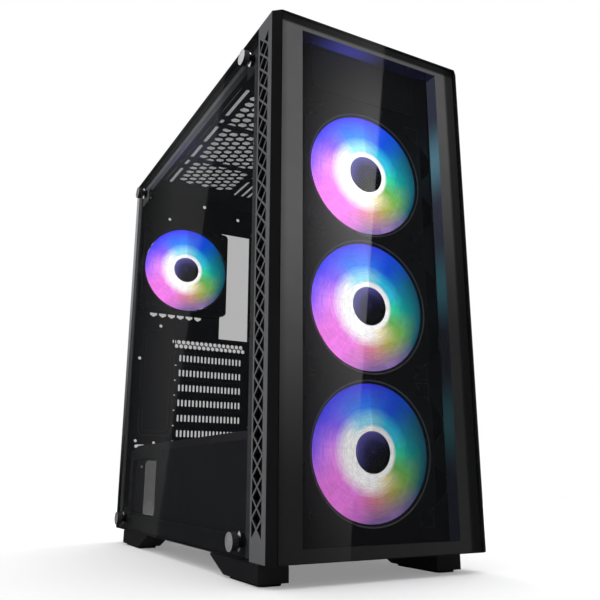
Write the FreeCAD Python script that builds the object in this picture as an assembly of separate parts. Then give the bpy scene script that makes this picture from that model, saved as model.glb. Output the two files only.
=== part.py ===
"""Mid-tower computer case with a glass side, a glass front and four lit fans.

Frame: millimetres, +Z up.  The origin is on the desk, on the middle plane of the
case and half-way between its front and rear faces.  The glass side is at -X, the
motherboard tray is on the +X side, the front glass faces -Y.
"""
import FreeCAD
import Part

import math
import os

V = FreeCAD.Vector

# ---------------------------------------------------------------- overall sizes
WIDTH = 210.0
DEPTH = 442.0
HEIGHT = 479.0
BASE_Z = 16.2                     # underside of the body, on top of the feet

SIDE_X = WIDTH / 2                # outer faces of the side panels
FRONT_Y = -DEPTH / 2

# ---------------------------------------------------------------- steel chassis
SHEET = 1.0                       # chassis sheet steel
CHASSIS_X = 101.5                 # half width over the chassis
CHASSIS_REAR_Y = 219.5
FLOOR_Z = BASE_Z                  # underside of the chassis floor
PANEL_LOW_Z = BASE_Z + 0.4        # lower edge of everything that comes off
TOP_Z = 473.0                     # upper face of the top sheet
FRONT_PLATE_Y = -201.5            # front face of the front plate
FRONT_PLATE_T = 1.2
FRONT_HALF_X = 99.5               # half width of the narrower front section
PANEL_FRONT_Y = -187.0            # where the side panels start
REAR_WALL_Y = 207.0               # inner face of the recessed rear wall
TRAY_X = 68.0                     # face of the motherboard tray
PILLAR_REAR_Y = -172.0
LOWER_RAIL_TOP_Z = 33.5
TOP_RAIL_LOW_Z = 460.0

# ---------------------------------------------------------------- glass and panels
SIDE_GLASS_T = 3.0
FRONT_GLASS_T = 4.0
FRONT_GLASS_HALF_X = 97.9
PANEL_REAR_Y = 220.5
WINDOW_HALF_X = 76.0
WINDOW_LOW_Z = 26.0
WINDOW_TOP_Z = 468.5
TUNNEL_REAR_Y = -203.2            # inner end of the walls round the front window

# ---------------------------------------------------------------- fans
FAN_SIZE = 120.0
FAN_DEPTH = 25.0
FAN_BORE_R = 58.0
FAN_MOUTH_R = 59.2
FAN_HOLE_PITCH = 105.0
FAN_HOLE_R = 2.2
FAN_HUB_R = 17.1
FAN_BLADES = 9
BLADE_TIP_R = 56.3
BLADE_HALF_ANGLE = 23.5           # half the angle that a blade spans about the axis
BLADE_Y = [4.6, 17.2]             # depth of its leading and trailing edge
BLADE_CAMBER = 2.2
SHAFT_R = 1.5
SHAFT_CLEARANCE = 0.05
FRONT_FAN_Z = [98.3, 224.1, 349.9]
FRONT_FAN_Y = FRONT_PLATE_Y + FRONT_PLATE_T
REAR_FAN_X = -40.4
REAR_FAN_Z = 355.4
REAR_FAN_Y = REAR_WALL_Y - FAN_DEPTH
FRONT_OPENING_R = 58.6            # round openings in the front plate

# ---------------------------------------------------------------- rear wall
IO_X = [20.0, 64.45]              # standard 44.45 x 158.75 mm board opening
IO_Z = [268.0, 426.75]
SLOT_PITCH = 20.32
SLOT_COUNT = 7
SLOT_TOP_Z = 236.0                # centre line of the uppermost expansion slot
SLOT_COVER_X = [-41.5, 60.0]
SLOT_COVER_H = 18.9
SLOT_VENTS = 18
SLOT_VENT_X = [-38.0, 55.6]
PSU_OPENING_X = [-75.5, 53.5]
PSU_OPENING_Z = [28.7, 98.7]
PSU_LEFT_X = -86.0                # outer face of a 150 x 86 mm power supply
PSU_LOW_Z = 21.0

# ---------------------------------------------------------------- board mounts
STANDOFF_TOP_Z = 427.6
STANDOFF_REAR_Y = 194.7
STANDOFF_ROWS = [0.0, 157.48, 281.94]
STANDOFF_COLUMNS = [0.0, 154.94, 227.33]
STANDOFF_H = 6.35

# ---------------------------------------------------------------- power supply shroud
SHROUD_TOP_Z = 117.2
SHROUD_X = -95.0
SHROUD_BEND = 8.7
SHROUD_FRONT_Y = -171.0

# ---------------------------------------------------------------- thumbscrews
SCREW_Y = [-167.5, 187.5]
SCREW_Z = [29.6, 457.5]
SCREW_HEAD_R = 7.35
SCREW_HEAD_H = 8.6
SCREW_SHANK_R = 2.0
POST_R = 6.0

# ---------------------------------------------------------------- feet
FOOT_W = 25.5
FOOT_LEFT_X = -SIDE_X
FOOT_RIGHT_X = 61.0
PAD_T = 2.0

# ---------------------------------------------------------------- top
BEZEL_FRONT_Y = -186.6
FILTER_X = [-85.0, 85.0]
FILTER_Y = [-104.0, 192.0]
IO_LINE_Y = -152.0                # row of buttons and sockets on the top
POWER_X = -48.0
RESET_X = -26.0
USB_X = [-4.0, 16.0]
AUDIO_X = [36.0, 50.0]
BOARD_TOP_Z = 459.6               # upper face of the control board
STEM_LOW_Z = 461.6                # lower end of the button stems; they travel 1.5 mm


# ---------------------------------------------------------------- clips and vents of the front module
CLIP_PLACES = [(sx * 91.0, z) for sx in (-1, 1) for z in (45.0, 245.0, 448.0)]
VENT_Y = [-207.5, -190.0]
VENT_Z = [32.5, 466.0]
VENT_CELLS = 28

# ---------------------------------------------------------------- openings in the top panel
TOP_VENT_X = [-62.0, 10.0]
TOP_VENT_Y = [-84.0, 158.5]
TOP_SLOT_X = [-84.5, -75.2, 20.5, 31.5, 41.0]
TOP_SLOT_PITCH = 69.5
TOP_SLOTS = [(-67.5 + i * TOP_SLOT_PITCH, 61.0) for i in range(3)] + [(139.0, 51.0)]

# ---------------------------------------------------------------- rear wall and right panel
PSU_HOLE_R = 1.9
PSU_HOLES = [(PSU_LEFT_X + 6.0, PSU_LOW_Z + 70.0), (PSU_LEFT_X + 144.0, PSU_LOW_Z + 80.0),
             (PSU_LEFT_X + 144.0, PSU_LOW_Z + 6.0)]
SMALL_HOLES = [(-64.7, 278.3, 2.2), (-91.3, 231.9, 2.2), (45.1, 452.7, 2.6), (-8.5, 463.3, 2.6),
               (-90.4, 123.7, 2.0), (-66.2, 121.4, 2.0), (-60.0, 435.0, 2.2), (-91.0, 462.5, 2.2)]
RIGHT_SCREW_Z = [60.0, 430.0]

# ---------------------------------------------------------------- drives
CAGE_Y = [-150.0, -38.0]
DRIVE_TRAY_Z = [22.0, 55.0]
CARRIER_Z = [125.0, 205.0]

# ---------------------------------------------------------------- buttons and the lower filter
POWER_R = 7.5
RESET_R = 3.6
PSU_FILTER_X = [-70.0, 50.0]
PSU_FILTER_Y = [66.0, 216.0]
PSU_FILTER_Z = 12.6

HEX_ROW = math.sqrt(3) / 2        # row spacing of a hexagonal pattern of pitch 1


# ================================================================ helpers
def point(axis, level, a, b):
    """A point on the plane where `axis` is `level`; a and b are the other two."""
    if axis == "X":
        return V(level, a, b)
    if axis == "Y":
        return V(a, level, b)
    return V(a, b, level)


def direction(axis):
    return {"X": V(1, 0, 0), "Y": V(0, 1, 0), "Z": V(0, 0, 1)}[axis]


def polygon(axis, level, corners):
    points = [point(axis, level, a, b) for a, b in corners]
    return Part.makePolygon(points + points[:1])


def rectangle(axis, level, a0, a1, b0, b1):
    return polygon(axis, level, [(a0, b0), (a1, b0), (a1, b1), (a0, b1)])


def circle(axis, level, a, b, r):
    return Part.Wire(Part.Circle(point(axis, level, a, b), direction(axis), r).toShape())


def hexagon(axis, level, a, b, r, turn=0):
    angles = [math.radians(60 * i + turn) for i in range(6)]
    corners = [(a + r * math.cos(t), b + r * math.sin(t)) for t in angles]
    return polygon(axis, level, corners)


def rounded(axis, level, a0, a1, b0, b1, r):
    """A rectangle with corner arcs of radius r; r may differ from corner to corner."""
    radii = r if isinstance(r, (list, tuple)) else [r] * 4
    corners = [(a0, b0, 180), (a1, b0, 270), (a1, b1, 0), (a0, b1, 90)]
    inward = [(1, 1), (-1, 1), (-1, -1), (1, -1)]
    edges = []
    arcs = []
    for (a, b, start), (ia, ib), radius in zip(corners, inward, radii):
        if radius <= 0:
            arcs.append([point(axis, level, a, b)] * 3)
            continue
        ca = a + ia * radius
        cb = b + ib * radius
        arcs.append([point(axis, level, ca + radius * math.cos(math.radians(start + t)),
                           cb + radius * math.sin(math.radians(start + t))) for t in (0, 45, 90)])
    for i in range(4):
        if arcs[i][0] != arcs[i][2]:
            edges.append(Part.Arc(*arcs[i]).toShape())
        following = arcs[(i + 1) % 4][0]
        if (following - arcs[i][2]).Length > 1e-6:
            edges.append(Part.makeLine(arcs[i][2], following))
    return Part.Wire(edges)


def slot(axis, level, a, b, length, width, along="b"):
    """A round-ended slot, `length` end to end, along the a or the b direction."""
    half_l = length / 2
    half_w = width / 2
    if along == "a":
        return rounded(axis, level, a - half_l, a + half_l, b - half_w, b + half_w, half_w - 1e-4)
    return rounded(axis, level, a - half_w, a + half_w, b - half_l, b + half_l, half_w - 1e-4)


def sheet(axis, low, high, outer, holes=()):
    """A flat sheet between two levels of an axis; `outer` and `holes` are wires at `low`."""
    face = Part.makeFace([outer] + list(holes), "Part::FaceMakerBullseye")
    return face.extrude(direction(axis) * (high - low))


def box(x0, x1, y0, y1, z0, z1):
    return Part.makeBox(x1 - x0, y1 - y0, z1 - z0, V(x0, y0, z0))


def rod(axis, start, a, b, length, r):
    return Part.makeCylinder(r, length, point(axis, start, a, b), direction(axis))


def ring(axis, start, a, b, length, outer_r, inner_r):
    return rod(axis, start, a, b, length, outer_r).cut(rod(axis, start, a, b, length, inner_r))


def mirror_x(shape):
    return shape.mirror(V(0, 0, 0), V(1, 0, 0))


def moved(shape, x=0.0, y=0.0, z=0.0):
    copy = shape.copy()
    copy.translate(V(x, y, z))
    return copy


def fuse(shapes):
    first = shapes[0]
    return first.fuse(shapes[1:]).removeSplitter() if len(shapes) > 1 else first


def save(name, shapes):
    """Write one node; several shapes stay separate solids in it."""
    solids = []
    for shape in shapes if isinstance(shapes, list) else [shapes]:
        solids.extend(shape.Solids)
    for solid in solids:
        if not solid.isValid():
            print("NOT VALID", name)
    node = solids[0] if len(solids) == 1 else Part.makeCompound(solids)
    node.exportStep("parts/%s.step" % name)
    print("%-24s %2d solids  %9.0f mm3" % (name, len(solids), node.Volume))


def hex_columns(axis, level, a0, a1, b0, b1, pitch, r, inside=lambda a, b: True):
    """Hexagonal holes in staggered columns that fill a rectangle."""
    holes = []
    for i in range(int((a1 - a0) / (pitch * HEX_ROW)) + 1):
        a = a0 + i * pitch * HEX_ROW
        start = b0 + (pitch / 2 if i % 2 else 0.0)
        for j in range(int((b1 - start) / pitch + 1e-6) + 1):
            if inside(a, start + j * pitch):
                holes.append(hexagon(axis, level, a, start + j * pitch, r))
    return holes


def hex_rows(axis, level, a0, a1, b0, b1, pitch, r, inside=lambda a, b: True):
    """Hexagonal holes in staggered rows, corners up and down."""
    holes = []
    for i in range(int((b1 - b0) / (pitch * HEX_ROW) + 1e-6) + 1):
        b = b0 + i * pitch * HEX_ROW
        start = a0 + (0.0 if i % 2 else pitch / 2)
        for j in range(int((a1 - start) / pitch + 1e-6) + 1):
            if inside(start + j * pitch, b):
                holes.append(hexagon(axis, level, start + j * pitch, b, r, 30))
    return holes


# ================================================================ chassis
def chassis_outline(level):
    """Plan of the floor and the top sheet: narrower inside the front panel."""
    step = PANEL_FRONT_Y + 0.6
    return polygon("Z", level, [
        (-FRONT_HALF_X, FRONT_PLATE_Y), (FRONT_HALF_X, FRONT_PLATE_Y), (FRONT_HALF_X, step),
        (CHASSIS_X, step), (CHASSIS_X, CHASSIS_REAR_Y), (-CHASSIS_X, CHASSIS_REAR_Y),
        (-CHASSIS_X, step), (-FRONT_HALF_X, step)])


def chassis_floor():
    level = FLOOR_Z
    outer = chassis_outline(level)
    centre_x = PSU_LEFT_X + 75.0
    centre_y = 130.0
    vents = hex_columns("Z", level, centre_x - 55, centre_x + 55, centre_y - 52, centre_y + 52, 12.8, 5.4,
                      lambda a, b: math.hypot(a - centre_x, b - centre_y) < 56)
    return sheet("Z", level, level + SHEET, outer, vents)


def post_seats():
    """Cutters for the holes that the threaded posts are riveted into."""
    return [rod("X", -CHASSIS_X - 1, y, z, 8.0, POST_R) for y in SCREW_Y for z in SCREW_Z]


def side_rail(web_z, tab_z, lip_z):
    """One rail: a web at the chassis side, tabs round the glass screws and a folded lip."""
    x = -CHASSIS_X
    web = box(x, x + SHEET, PILLAR_REAR_Y, REAR_WALL_Y, web_z[0], web_z[1])
    tabs = [box(x, x + SHEET, y0, y1, tab_z[0], tab_z[1])
            for y0, y1 in ((PILLAR_REAR_Y, SCREW_Y[0] + 13), (SCREW_Y[1] - 13, SCREW_Y[1] + 13))]
    lip = box(x, x + 5.0, PILLAR_REAR_Y + 24, SCREW_Y[1] - 14, lip_z, lip_z + SHEET)
    whole = fuse([web, lip] + tabs)
    return [whole.cut(post_seats()), mirror_x(whole)]


def lower_rails():
    low = FLOOR_Z + SHEET
    return side_rail([low, LOWER_RAIL_TOP_Z], [low, 43.0], LOWER_RAIL_TOP_Z - SHEET)


def rails_at_top():
    high = TOP_Z - SHEET
    return side_rail([TOP_RAIL_LOW_Z, high], [444.0, high], TOP_RAIL_LOW_Z)


def front_pillars():
    """Folded uprights joining the narrow front section to the side rails."""
    t = SHEET
    x_in = FRONT_HALF_X - t
    x_out = CHASSIS_X
    front = FRONT_FAN_Y
    step = PANEL_FRONT_Y + 0.6
    outline = [(-FRONT_HALF_X, front), (-FRONT_HALF_X, step), (-x_out, step), (-x_out, PILLAR_REAR_Y),
               (-x_out + t, PILLAR_REAR_Y), (-x_out + t, step + t), (-x_in, step + t), (-x_in, front)]
    low = FLOOR_Z + SHEET
    high = TOP_Z - SHEET
    pillar = sheet("Z", low, high, polygon("Z", low, outline)).cut(post_seats())
    return [pillar, mirror_x(pillar)]


def glass_posts():
    """Short threaded posts on the chassis that the glass screws bite into."""
    start = -CHASSIS_X - 0.2
    posts = []
    for y in SCREW_Y:
        for z in SCREW_Z:
            posts.append(ring("X", start, y, z, 5.9, POST_R, SCREW_SHANK_R + SHAFT_CLEARANCE))
    return posts


def front_plate():
    level = FRONT_PLATE_Y
    outer = rectangle("Y", level, -FRONT_HALF_X, FRONT_HALF_X, FLOOR_Z + SHEET, TOP_Z - SHEET)
    holes = [circle("Y", level, 0, z, FRONT_OPENING_R) for z in FRONT_FAN_Z]
    offset = FAN_HOLE_PITCH / 2
    for z in FRONT_FAN_Z:
        for sx in (-1, 1):
            for sz in (-1, 1):
                holes.append(circle("Y", level, sx * offset, z + sz * offset, FAN_HOLE_R))
                # three-cornered lightening holes between the fan and the uprights
                tip = (sx * 64.5, z + sz * 8)
                holes.append(polygon("Y", level, [tip, (sx * 64.5, z + sz * 44), (sx * 84, z + sz * 26)]))
    for x, z in CLIP_PLACES:
        holes.append(circle("Y", level, x, z, 3.6))
    return sheet("Y", level, level + FRONT_PLATE_T, outer, holes)


def module_cover():
    """Moulded cover over the upper part of the front plate, round at its lower corners."""
    low = FRONT_PLATE_Y - 1.4
    outer = rounded("Y", low, -58.0, 58.0, 424.0, 470.0, [9.0, 9.0, 0.0, 0.0])
    inner = rounded("Y", low, -53.0, 53.0, 429.0, 466.0, [6.0, 6.0, 0.0, 0.0])
    rim = sheet("Y", low, FRONT_PLATE_Y, outer, [inner])
    skin = sheet("Y", low + 0.7, FRONT_PLATE_Y, rounded("Y", low + 0.7, -53.0, 53.0, 429.0, 466.0,
                                                       [6.0, 6.0, 0.0, 0.0]))
    return fuse([rim, skin])


def top_panel():
    level = TOP_Z - SHEET
    outer = chassis_outline(level)
    holes = hex_columns("Z", level, TOP_VENT_X[0], TOP_VENT_X[1], TOP_VENT_Y[0], TOP_VENT_Y[1], 12.8, 5.6)
    for x in TOP_SLOT_X:
        for y, length in TOP_SLOTS:
            holes.append(slot("Z", level, x, y, length, 4.5))
    for x, r in [(POWER_X, 4.2), (RESET_X, 2.4)]:
        holes.append(circle("Z", level, x, IO_LINE_Y, r))
    for x in USB_X:
        holes.append(rectangle("Z", level, x - 7.2, x + 7.2, IO_LINE_Y - 3.6, IO_LINE_Y + 3.6))
    for x in AUDIO_X:
        holes.append(circle("Z", level, x, IO_LINE_Y, 4.3))
    return sheet("Z", level, TOP_Z, outer, holes)


def fan_grille(level):
    """Hexagonal fan grille of the rear wall; its lowest row peeps out under the fan."""
    pitch = 12.7
    hole_r = 5.85
    half_height = 59.6
    screw_margin = 14.0
    centre_x = REAR_FAN_X - 3.8
    screw = FAN_HOLE_PITCH / 2

    def inside(a, b):
        corner = math.hypot(abs(a - REAR_FAN_X) - screw, abs(b - REAR_FAN_Z) - screw)
        return -92.0 < a < 12.0 and corner > screw_margin

    return hex_rows("Y", level, centre_x - 5 * pitch, centre_x + 5 * pitch, REAR_FAN_Z - half_height,
                    REAR_FAN_Z + half_height, pitch, hole_r, inside)


def rear_wall_features(level):
    holes = fan_grille(level)
    offset = FAN_HOLE_PITCH / 2
    for sx in (-1, 1):
        for sz in (-1, 1):
            x = REAR_FAN_X + sx * offset
            if x < IO_X[0] - 6:
                holes.append(slot("Y", level, x, REAR_FAN_Z + sz * offset, 9.0, 4.6))
    holes.append(rectangle("Y", level, IO_X[0], IO_X[1], IO_Z[0], IO_Z[1]))
    holes += hex_rows("Y", level, -44.5, 61.0, 252.8, 259.0, 6.6, 3.1)
    for i in range(SLOT_COUNT):
        z = SLOT_TOP_Z - i * SLOT_PITCH
        holes.append(rounded("Y", level, -38.8, 56.6, z - 6.6, z + 6.6, 1.5))
    holes.append(rectangle("Y", level, SLOT_COVER_X[0] - 1.6, SLOT_COVER_X[0] + 1.6,
                           SLOT_TOP_Z - 6 * SLOT_PITCH - 9.6, SLOT_TOP_Z + 9.6))
    holes.append(rounded("Y", level, PSU_OPENING_X[0], PSU_OPENING_X[1],
                         PSU_OPENING_Z[0], PSU_OPENING_Z[1], 5.0))
    for x, z in PSU_HOLES:
        holes.append(circle("Y", level, x, z, PSU_HOLE_R))
    for x, z, r in SMALL_HOLES:
        holes.append(circle("Y", level, x, z, r))
    holes.append(slot("Y", level, -84.5, 116.9, 14.0, 4.2, "a"))
    return holes


def rear_panel():
    level = REAR_WALL_Y
    outer = rectangle("Y", level, -CHASSIS_X + SHEET, CHASSIS_X - SHEET, FLOOR_Z + SHEET, TOP_Z - SHEET)
    wall = sheet("Y", level, level + 1.2, outer, rear_wall_features(level))
    # pressed outline that stiffens the wall, seen from inside
    bead = sheet("Y", level - 0.7, level, rounded("Y", level - 0.7, -84.5, -48.5, 136.0, 264.0, 6.0),
                 [rounded("Y", level - 0.7, -82.9, -50.1, 137.6, 262.4, 4.4)])
    # shelf on the outside that takes the slot screws
    x = SLOT_COVER_X[0] - 2.6
    low = SLOT_TOP_Z - 6 * SLOT_PITCH - 9.6
    high = SLOT_TOP_Z + 9.6
    holes = [circle("X", x, 213.5, SLOT_TOP_Z - i * SLOT_PITCH, 1.4) for i in range(SLOT_COUNT)]
    shelf = sheet("X", x, x + SHEET, rectangle("X", x, level + 1.2, 219.0, low, high), holes)
    return fuse([wall, shelf, bead])


def rear_rims():
    """Uprights round the recessed rear wall; the right one is folded in for the panel screws."""
    low = FLOOR_Z + SHEET
    high = TOP_Z - SHEET
    front = REAR_WALL_Y
    left = box(-CHASSIS_X, -CHASSIS_X + SHEET, front, CHASSIS_REAR_Y, low, high)
    inner = CHASSIS_X - 15.0
    fold_holes = [circle("Y", CHASSIS_REAR_Y - SHEET, 94.0, z, 1.8) for z in RIGHT_SCREW_Z]
    fold = sheet("Y", CHASSIS_REAR_Y - SHEET, CHASSIS_REAR_Y,
                 rectangle("Y", CHASSIS_REAR_Y - SHEET, inner, CHASSIS_X, low, high), fold_holes)
    right = fuse([mirror_x(left), fold])
    return [left, right]


def motherboard_tray():
    level = TRAY_X
    rear = REAR_WALL_Y
    front = SHROUD_FRONT_Y + 1
    outer = rectangle("X", level, front, rear, FLOOR_Z + SHEET, TOP_Z - SHEET)
    holes = [rounded("X", level, 60.0, 180.0, 292.0, 418.0, 10.0)]
    for z in (175.0, 260.0, 345.0):
        holes.append(slot("X", level, -58.0, z, 62.0, 26.0))
    for y in (-20.0, 60.0, 140.0):
        holes.append(slot("X", level, y, 448.0, 44.0, 16.0, "a"))
    holes.append(rounded("X", level, CAGE_Y[0] + 1.5, CAGE_Y[1] - 1.5, 20.0, 92.0, 2.0))
    holes.append(rounded("X", level, -18.0, 40.0, 32.0, 104.0, 8.0))
    for y, z in standoff_places():
        holes.append(circle("X", level, y, z, 1.9))
    return sheet("X", level, level + SHEET, outer, holes)


def standoff_places():
    return [(STANDOFF_REAR_Y - dy, STANDOFF_TOP_Z - dz) for dy in STANDOFF_COLUMNS for dz in STANDOFF_ROWS]


def board_standoffs():
    posts = []
    for y, z in standoff_places():
        start = TRAY_X - STANDOFF_H
        post = sheet("X", start, TRAY_X, hexagon("X", start, y, z, 3.2))
        tail = rod("X", TRAY_X, y, z, 3.0, 1.85)
        bore = rod("X", start, y, z, 6.0, 1.45)
        posts.append(fuse([post, tail]).cut(bore))
    return posts


def psu_shroud():
    """Folded cover over the power supply bay, with a cut-out towards the rear."""
    t = SHEET
    bend_z = SHROUD_TOP_Z - SHROUD_BEND
    top_x = SHROUD_X + SHROUD_BEND
    low = FLOOR_Z + SHEET
    front = SHROUD_FRONT_Y
    rear = REAR_WALL_Y - 1.1
    outer = rectangle("X", SHROUD_X, front, rear, low, bend_z)
    window = rounded("X", SHROUD_X, 95.0, 194.5, 36.0, 99.5, 4.0)
    side = sheet("X", SHROUD_X, SHROUD_X + t, outer, [window])
    slope = sheet("Y", front, rear, polygon("Y", front, [
        (SHROUD_X, bend_z), (top_x, SHROUD_TOP_Z), (top_x + t, SHROUD_TOP_Z), (top_x + t, SHROUD_TOP_Z - t),
        (top_x + 0.4, SHROUD_TOP_Z - t), (SHROUD_X + t, bend_z - 0.4), (SHROUD_X + t, bend_z - 1.5),
        (SHROUD_X, bend_z - 1.5)]))
    level = SHROUD_TOP_Z - t
    holes = hex_columns("Z", level, -60.0, 30.0, 70.0, 190.0, 9.0, 3.4)
    for y in (-120.0, -40.0):
        holes.append(slot("Z", level, 52.0, y, 56.0, 18.0))
    top = sheet("Z", level, SHROUD_TOP_Z,
                rectangle("Z", level, top_x + t, TRAY_X, front, rear), holes)
    return fuse([side, slope, top])


def slot_cover():
    """One blanking plate; its foot is folded outwards through the rear wall."""
    x0, x1 = SLOT_COVER_X
    half = SLOT_COVER_H / 2
    level = REAR_WALL_Y - SHEET
    pitch = (SLOT_VENT_X[1] - SLOT_VENT_X[0]) / SLOT_VENTS
    vents = [slot("Y", level, SLOT_VENT_X[0] + (i + 0.5) * pitch, 0, 9.2, 2.9) for i in range(SLOT_VENTS)]
    plate = sheet("Y", level, REAR_WALL_Y, rectangle("Y", level, x0 - SHEET, x1, -half, half), vents)
    tab_x = x0 - SHEET
    tab = sheet("X", tab_x - 0.6, tab_x + 0.4,
                rectangle("X", tab_x - 0.6, level, 218.5, -8.0, 8.0),
                [circle("X", tab_x - 0.6, 213.5, 0, 1.9)])
    return fuse([plate, tab])


def slot_covers():
    cover = slot_cover()
    return [moved(cover, z=SLOT_TOP_Z - i * SLOT_PITCH) for i in range(SLOT_COUNT)]


def slot_screws():
    head_x = SLOT_COVER_X[0] - SHEET + 0.4
    shank = rod("X", head_x - 4.6, 213.5, 0, 4.6, 1.35)
    head = rod("X", head_x, 213.5, 0, 2.2, 3.2)
    cross = [box(head_x + 1.2, head_x + 2.2, 213.5 - a, 213.5 + a, -b, b)
             for a, b in ((2.0, 0.4), (0.4, 2.0))]
    screw = fuse([shank, head]).cut(cross)
    return [moved(screw, z=SLOT_TOP_Z - i * SLOT_PITCH) for i in range(SLOT_COUNT)]


def slot_screw_cover():
    """Removable strip on the outside that hides the slot screws."""
    low = SLOT_TOP_Z - 6 * SLOT_PITCH - 13.0
    high = SLOT_TOP_Z + 15.0
    wall = REAR_WALL_Y + 1.2
    foot = box(-62.0, -52.0, wall, wall + SHEET, low, high)
    web = box(-53.0, -52.0, wall, 220.2, low, high)
    face = box(-53.0, -38.6, 219.2, 220.2, low, high)
    return fuse([foot, web, face])


# ================================================================ feet
def foot(slope_to_rear):
    """Moulded foot: upright at its outer end, sloping up at the other, with a thin top flange."""
    length = 66.0
    slope = 30.0
    outline = [(0, PAD_T), (length, PAD_T), (length + slope, BASE_Z - 1.8), (length + slope, BASE_Z),
               (0, BASE_Z)]
    if not slope_to_rear:
        outline = [(-y, z) for y, z in outline]
    body = sheet("X", 0, FOOT_W, polygon("X", 0, outline))
    return body


def feet_layout():
    """Reference corner and direction of each foot."""
    return [(FOOT_LEFT_X, -203.0, True), (FOOT_RIGHT_X, -203.0, True),
            (FOOT_LEFT_X, 181.0, False), (FOOT_RIGHT_X, 181.0, False)]


def feet():
    return [moved(foot(to_rear), x=x, y=y) for x, y, to_rear in feet_layout()]


def foot_pads():
    pads = []
    for x, y, to_rear in feet_layout():
        y0, y1 = (y + 3, y + 63) if to_rear else (y - 63, y - 3)
        pads.append(sheet("Z", 0, PAD_T, rounded("Z", 0, x + 3, x + FOOT_W - 3, y0, y1, 5.0)))
    return pads


# ================================================================ drives and boards


def drive_cage():
    """Two-storey steel cage for 3.5 inch drives, open towards the motherboard tray."""
    x0, x1 = -86.0, 62.0
    t = 1.0
    low = FLOOR_Z + SHEET
    high = 88.0
    walls = [box(x0, x1, CAGE_Y[0], CAGE_Y[0] + t, low, high),
             box(x0, x1, CAGE_Y[1] - t, CAGE_Y[1], low, high),
             box(x0, x1, CAGE_Y[0], CAGE_Y[1], high, high + t)]
    for z in DRIVE_TRAY_Z:
        walls.append(box(x0, x1, CAGE_Y[0] + t, CAGE_Y[0] + 4.0, z - 1.6, z - 0.6))
        walls.append(box(x0, x1, CAGE_Y[1] - 4.0, CAGE_Y[1] - t, z - 1.6, z - 0.6))
    return fuse(walls)


def drive_tray(z):
    """Plastic sled for one drive: floor, two low sides and a finger grip."""
    x0, x1 = -84.0, 66.0
    y0, y1 = CAGE_Y[0] + 2.5, CAGE_Y[1] - 2.5
    t = 2.0
    floor = sheet("Z", z, z + t, rectangle("Z", z, x0, x1, y0, y1),
                  [rounded("Z", z, x0 + 20, x1 - 24, y0 + 18, y1 - 18, 6.0)])
    parts = [floor, box(x0, x1, y0, y0 + 2.2, z, z + 18), box(x0, x1, y1 - 2.2, y1, z, z + 18)]
    grip = sheet("X", x1 - 2.5, x1, rectangle("X", x1 - 2.5, y0, y1, z, z + 24),
                 [rounded("X", x1 - 2.5, -114.0, -74.0, z + 7, z + 18, 4.0)])
    return fuse(parts + [grip])


def ssd_brackets():
    """Flat carriers for 2.5 inch drives behind the motherboard tray."""
    x0 = TRAY_X + SHEET
    brackets = []
    for z in CARRIER_Z:
        base = sheet("X", x0 + 3, x0 + 4.2, rounded("X", x0 + 3, 70.0, 176.0, z, z + 74.0, 4.0),
                     [rounded("X", x0 + 3, 92.0, 154.0, z + 16, z + 58, 5.0)])
        legs = [rod("X", x0, y, zz, 3.0, 3.0) for y in (76.0, 170.0) for zz in (z + 6, z + 68)]
        hooks = [box(x0 + 4.2, x0 + 11.0, 74.0, 172.0, z, z + 1.2),
                 box(x0 + 4.2, x0 + 11.0, 74.0, 172.0, z + 72.8, z + 74.0)]
        brackets.append(fuse([base] + legs + hooks))
    return brackets


def fan_hub():
    """Small control box that feeds the fans and their lights."""
    x0 = TRAY_X + SHEET
    shell = sheet("X", x0, x0 + 14, rounded("X", x0, -20.0, 50.0, 345.0, 380.0, 3.0))
    sockets = [box(x0 + 9, x0 + 14, -16.0 + i * 11.0, -8.0 + i * 11.0, 362.0, 367.0) for i in range(6)]
    return shell.cut(sockets)


def psu_pads():
    """Rubber strips on the floor that the power supply rests on."""
    low = FLOOR_Z + SHEET
    return [box(PSU_LEFT_X + 6, PSU_LEFT_X + 144, y, y + 12.0, low, PSU_LOW_Z - 0.1) for y in (62.0, 188.0)]


# ================================================================ fans
def fan_frame():
    """Square frame with a round bore, thin flanges and four struts at the back; front face at y = 0."""
    half = FAN_SIZE / 2
    offset = FAN_HOLE_PITCH / 2
    flange = 4.0
    corners = [circle("Y", 0, sx * offset, sz * offset, FAN_HOLE_R) for sx in (-1, 1) for sz in (-1, 1)]
    plate = sheet("Y", 0, flange, rounded("Y", 0, -half, half, -half, half, 6.0),
                  corners + [circle("Y", 0, 0, 0, FAN_MOUTH_R)])
    barrel = ring("Y", 0, 0, 0, FAN_DEPTH, half - 0.01, FAN_BORE_R)
    parts = [plate, moved(plate, y=FAN_DEPTH - flange), barrel]
    base_y = FAN_DEPTH - 3.0
    parts.append(ring("Y", base_y, 0, 0, 3.0, 18.5, 3.0))
    for angle in (20, 110, 200, 290):
        strut = box(17.0, FAN_BORE_R + 1.0, base_y, FAN_DEPTH - 0.4, -2.0, 2.0)
        strut.rotate(V(0, 0, 0), V(0, 1, 0), angle)
        parts.append(strut)
    return fuse(parts)


def fan_stator():
    """Coil pack with the bearing tube for the rotor's shaft."""
    core = rod("Y", 6.0, 0, 0, FAN_DEPTH - 3.0 - 6.0, 14.2)
    teeth = ring("Y", 8.0, 0, 0, 8.0, 14.2, 9.0)
    gaps = []
    for i in range(4):
        gap = box(9.0, 14.4, 7.5, 16.5, -1.6, 1.6)
        gap.rotate(V(0, 0, 0), V(0, 1, 0), 45 + 90 * i)
        gaps.append(gap)
    bore = rod("Y", 6.0, 0, 0, FAN_DEPTH, SHAFT_R + SHAFT_CLEARANCE)
    return fuse([core, teeth]).cut(gaps + [bore])


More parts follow.
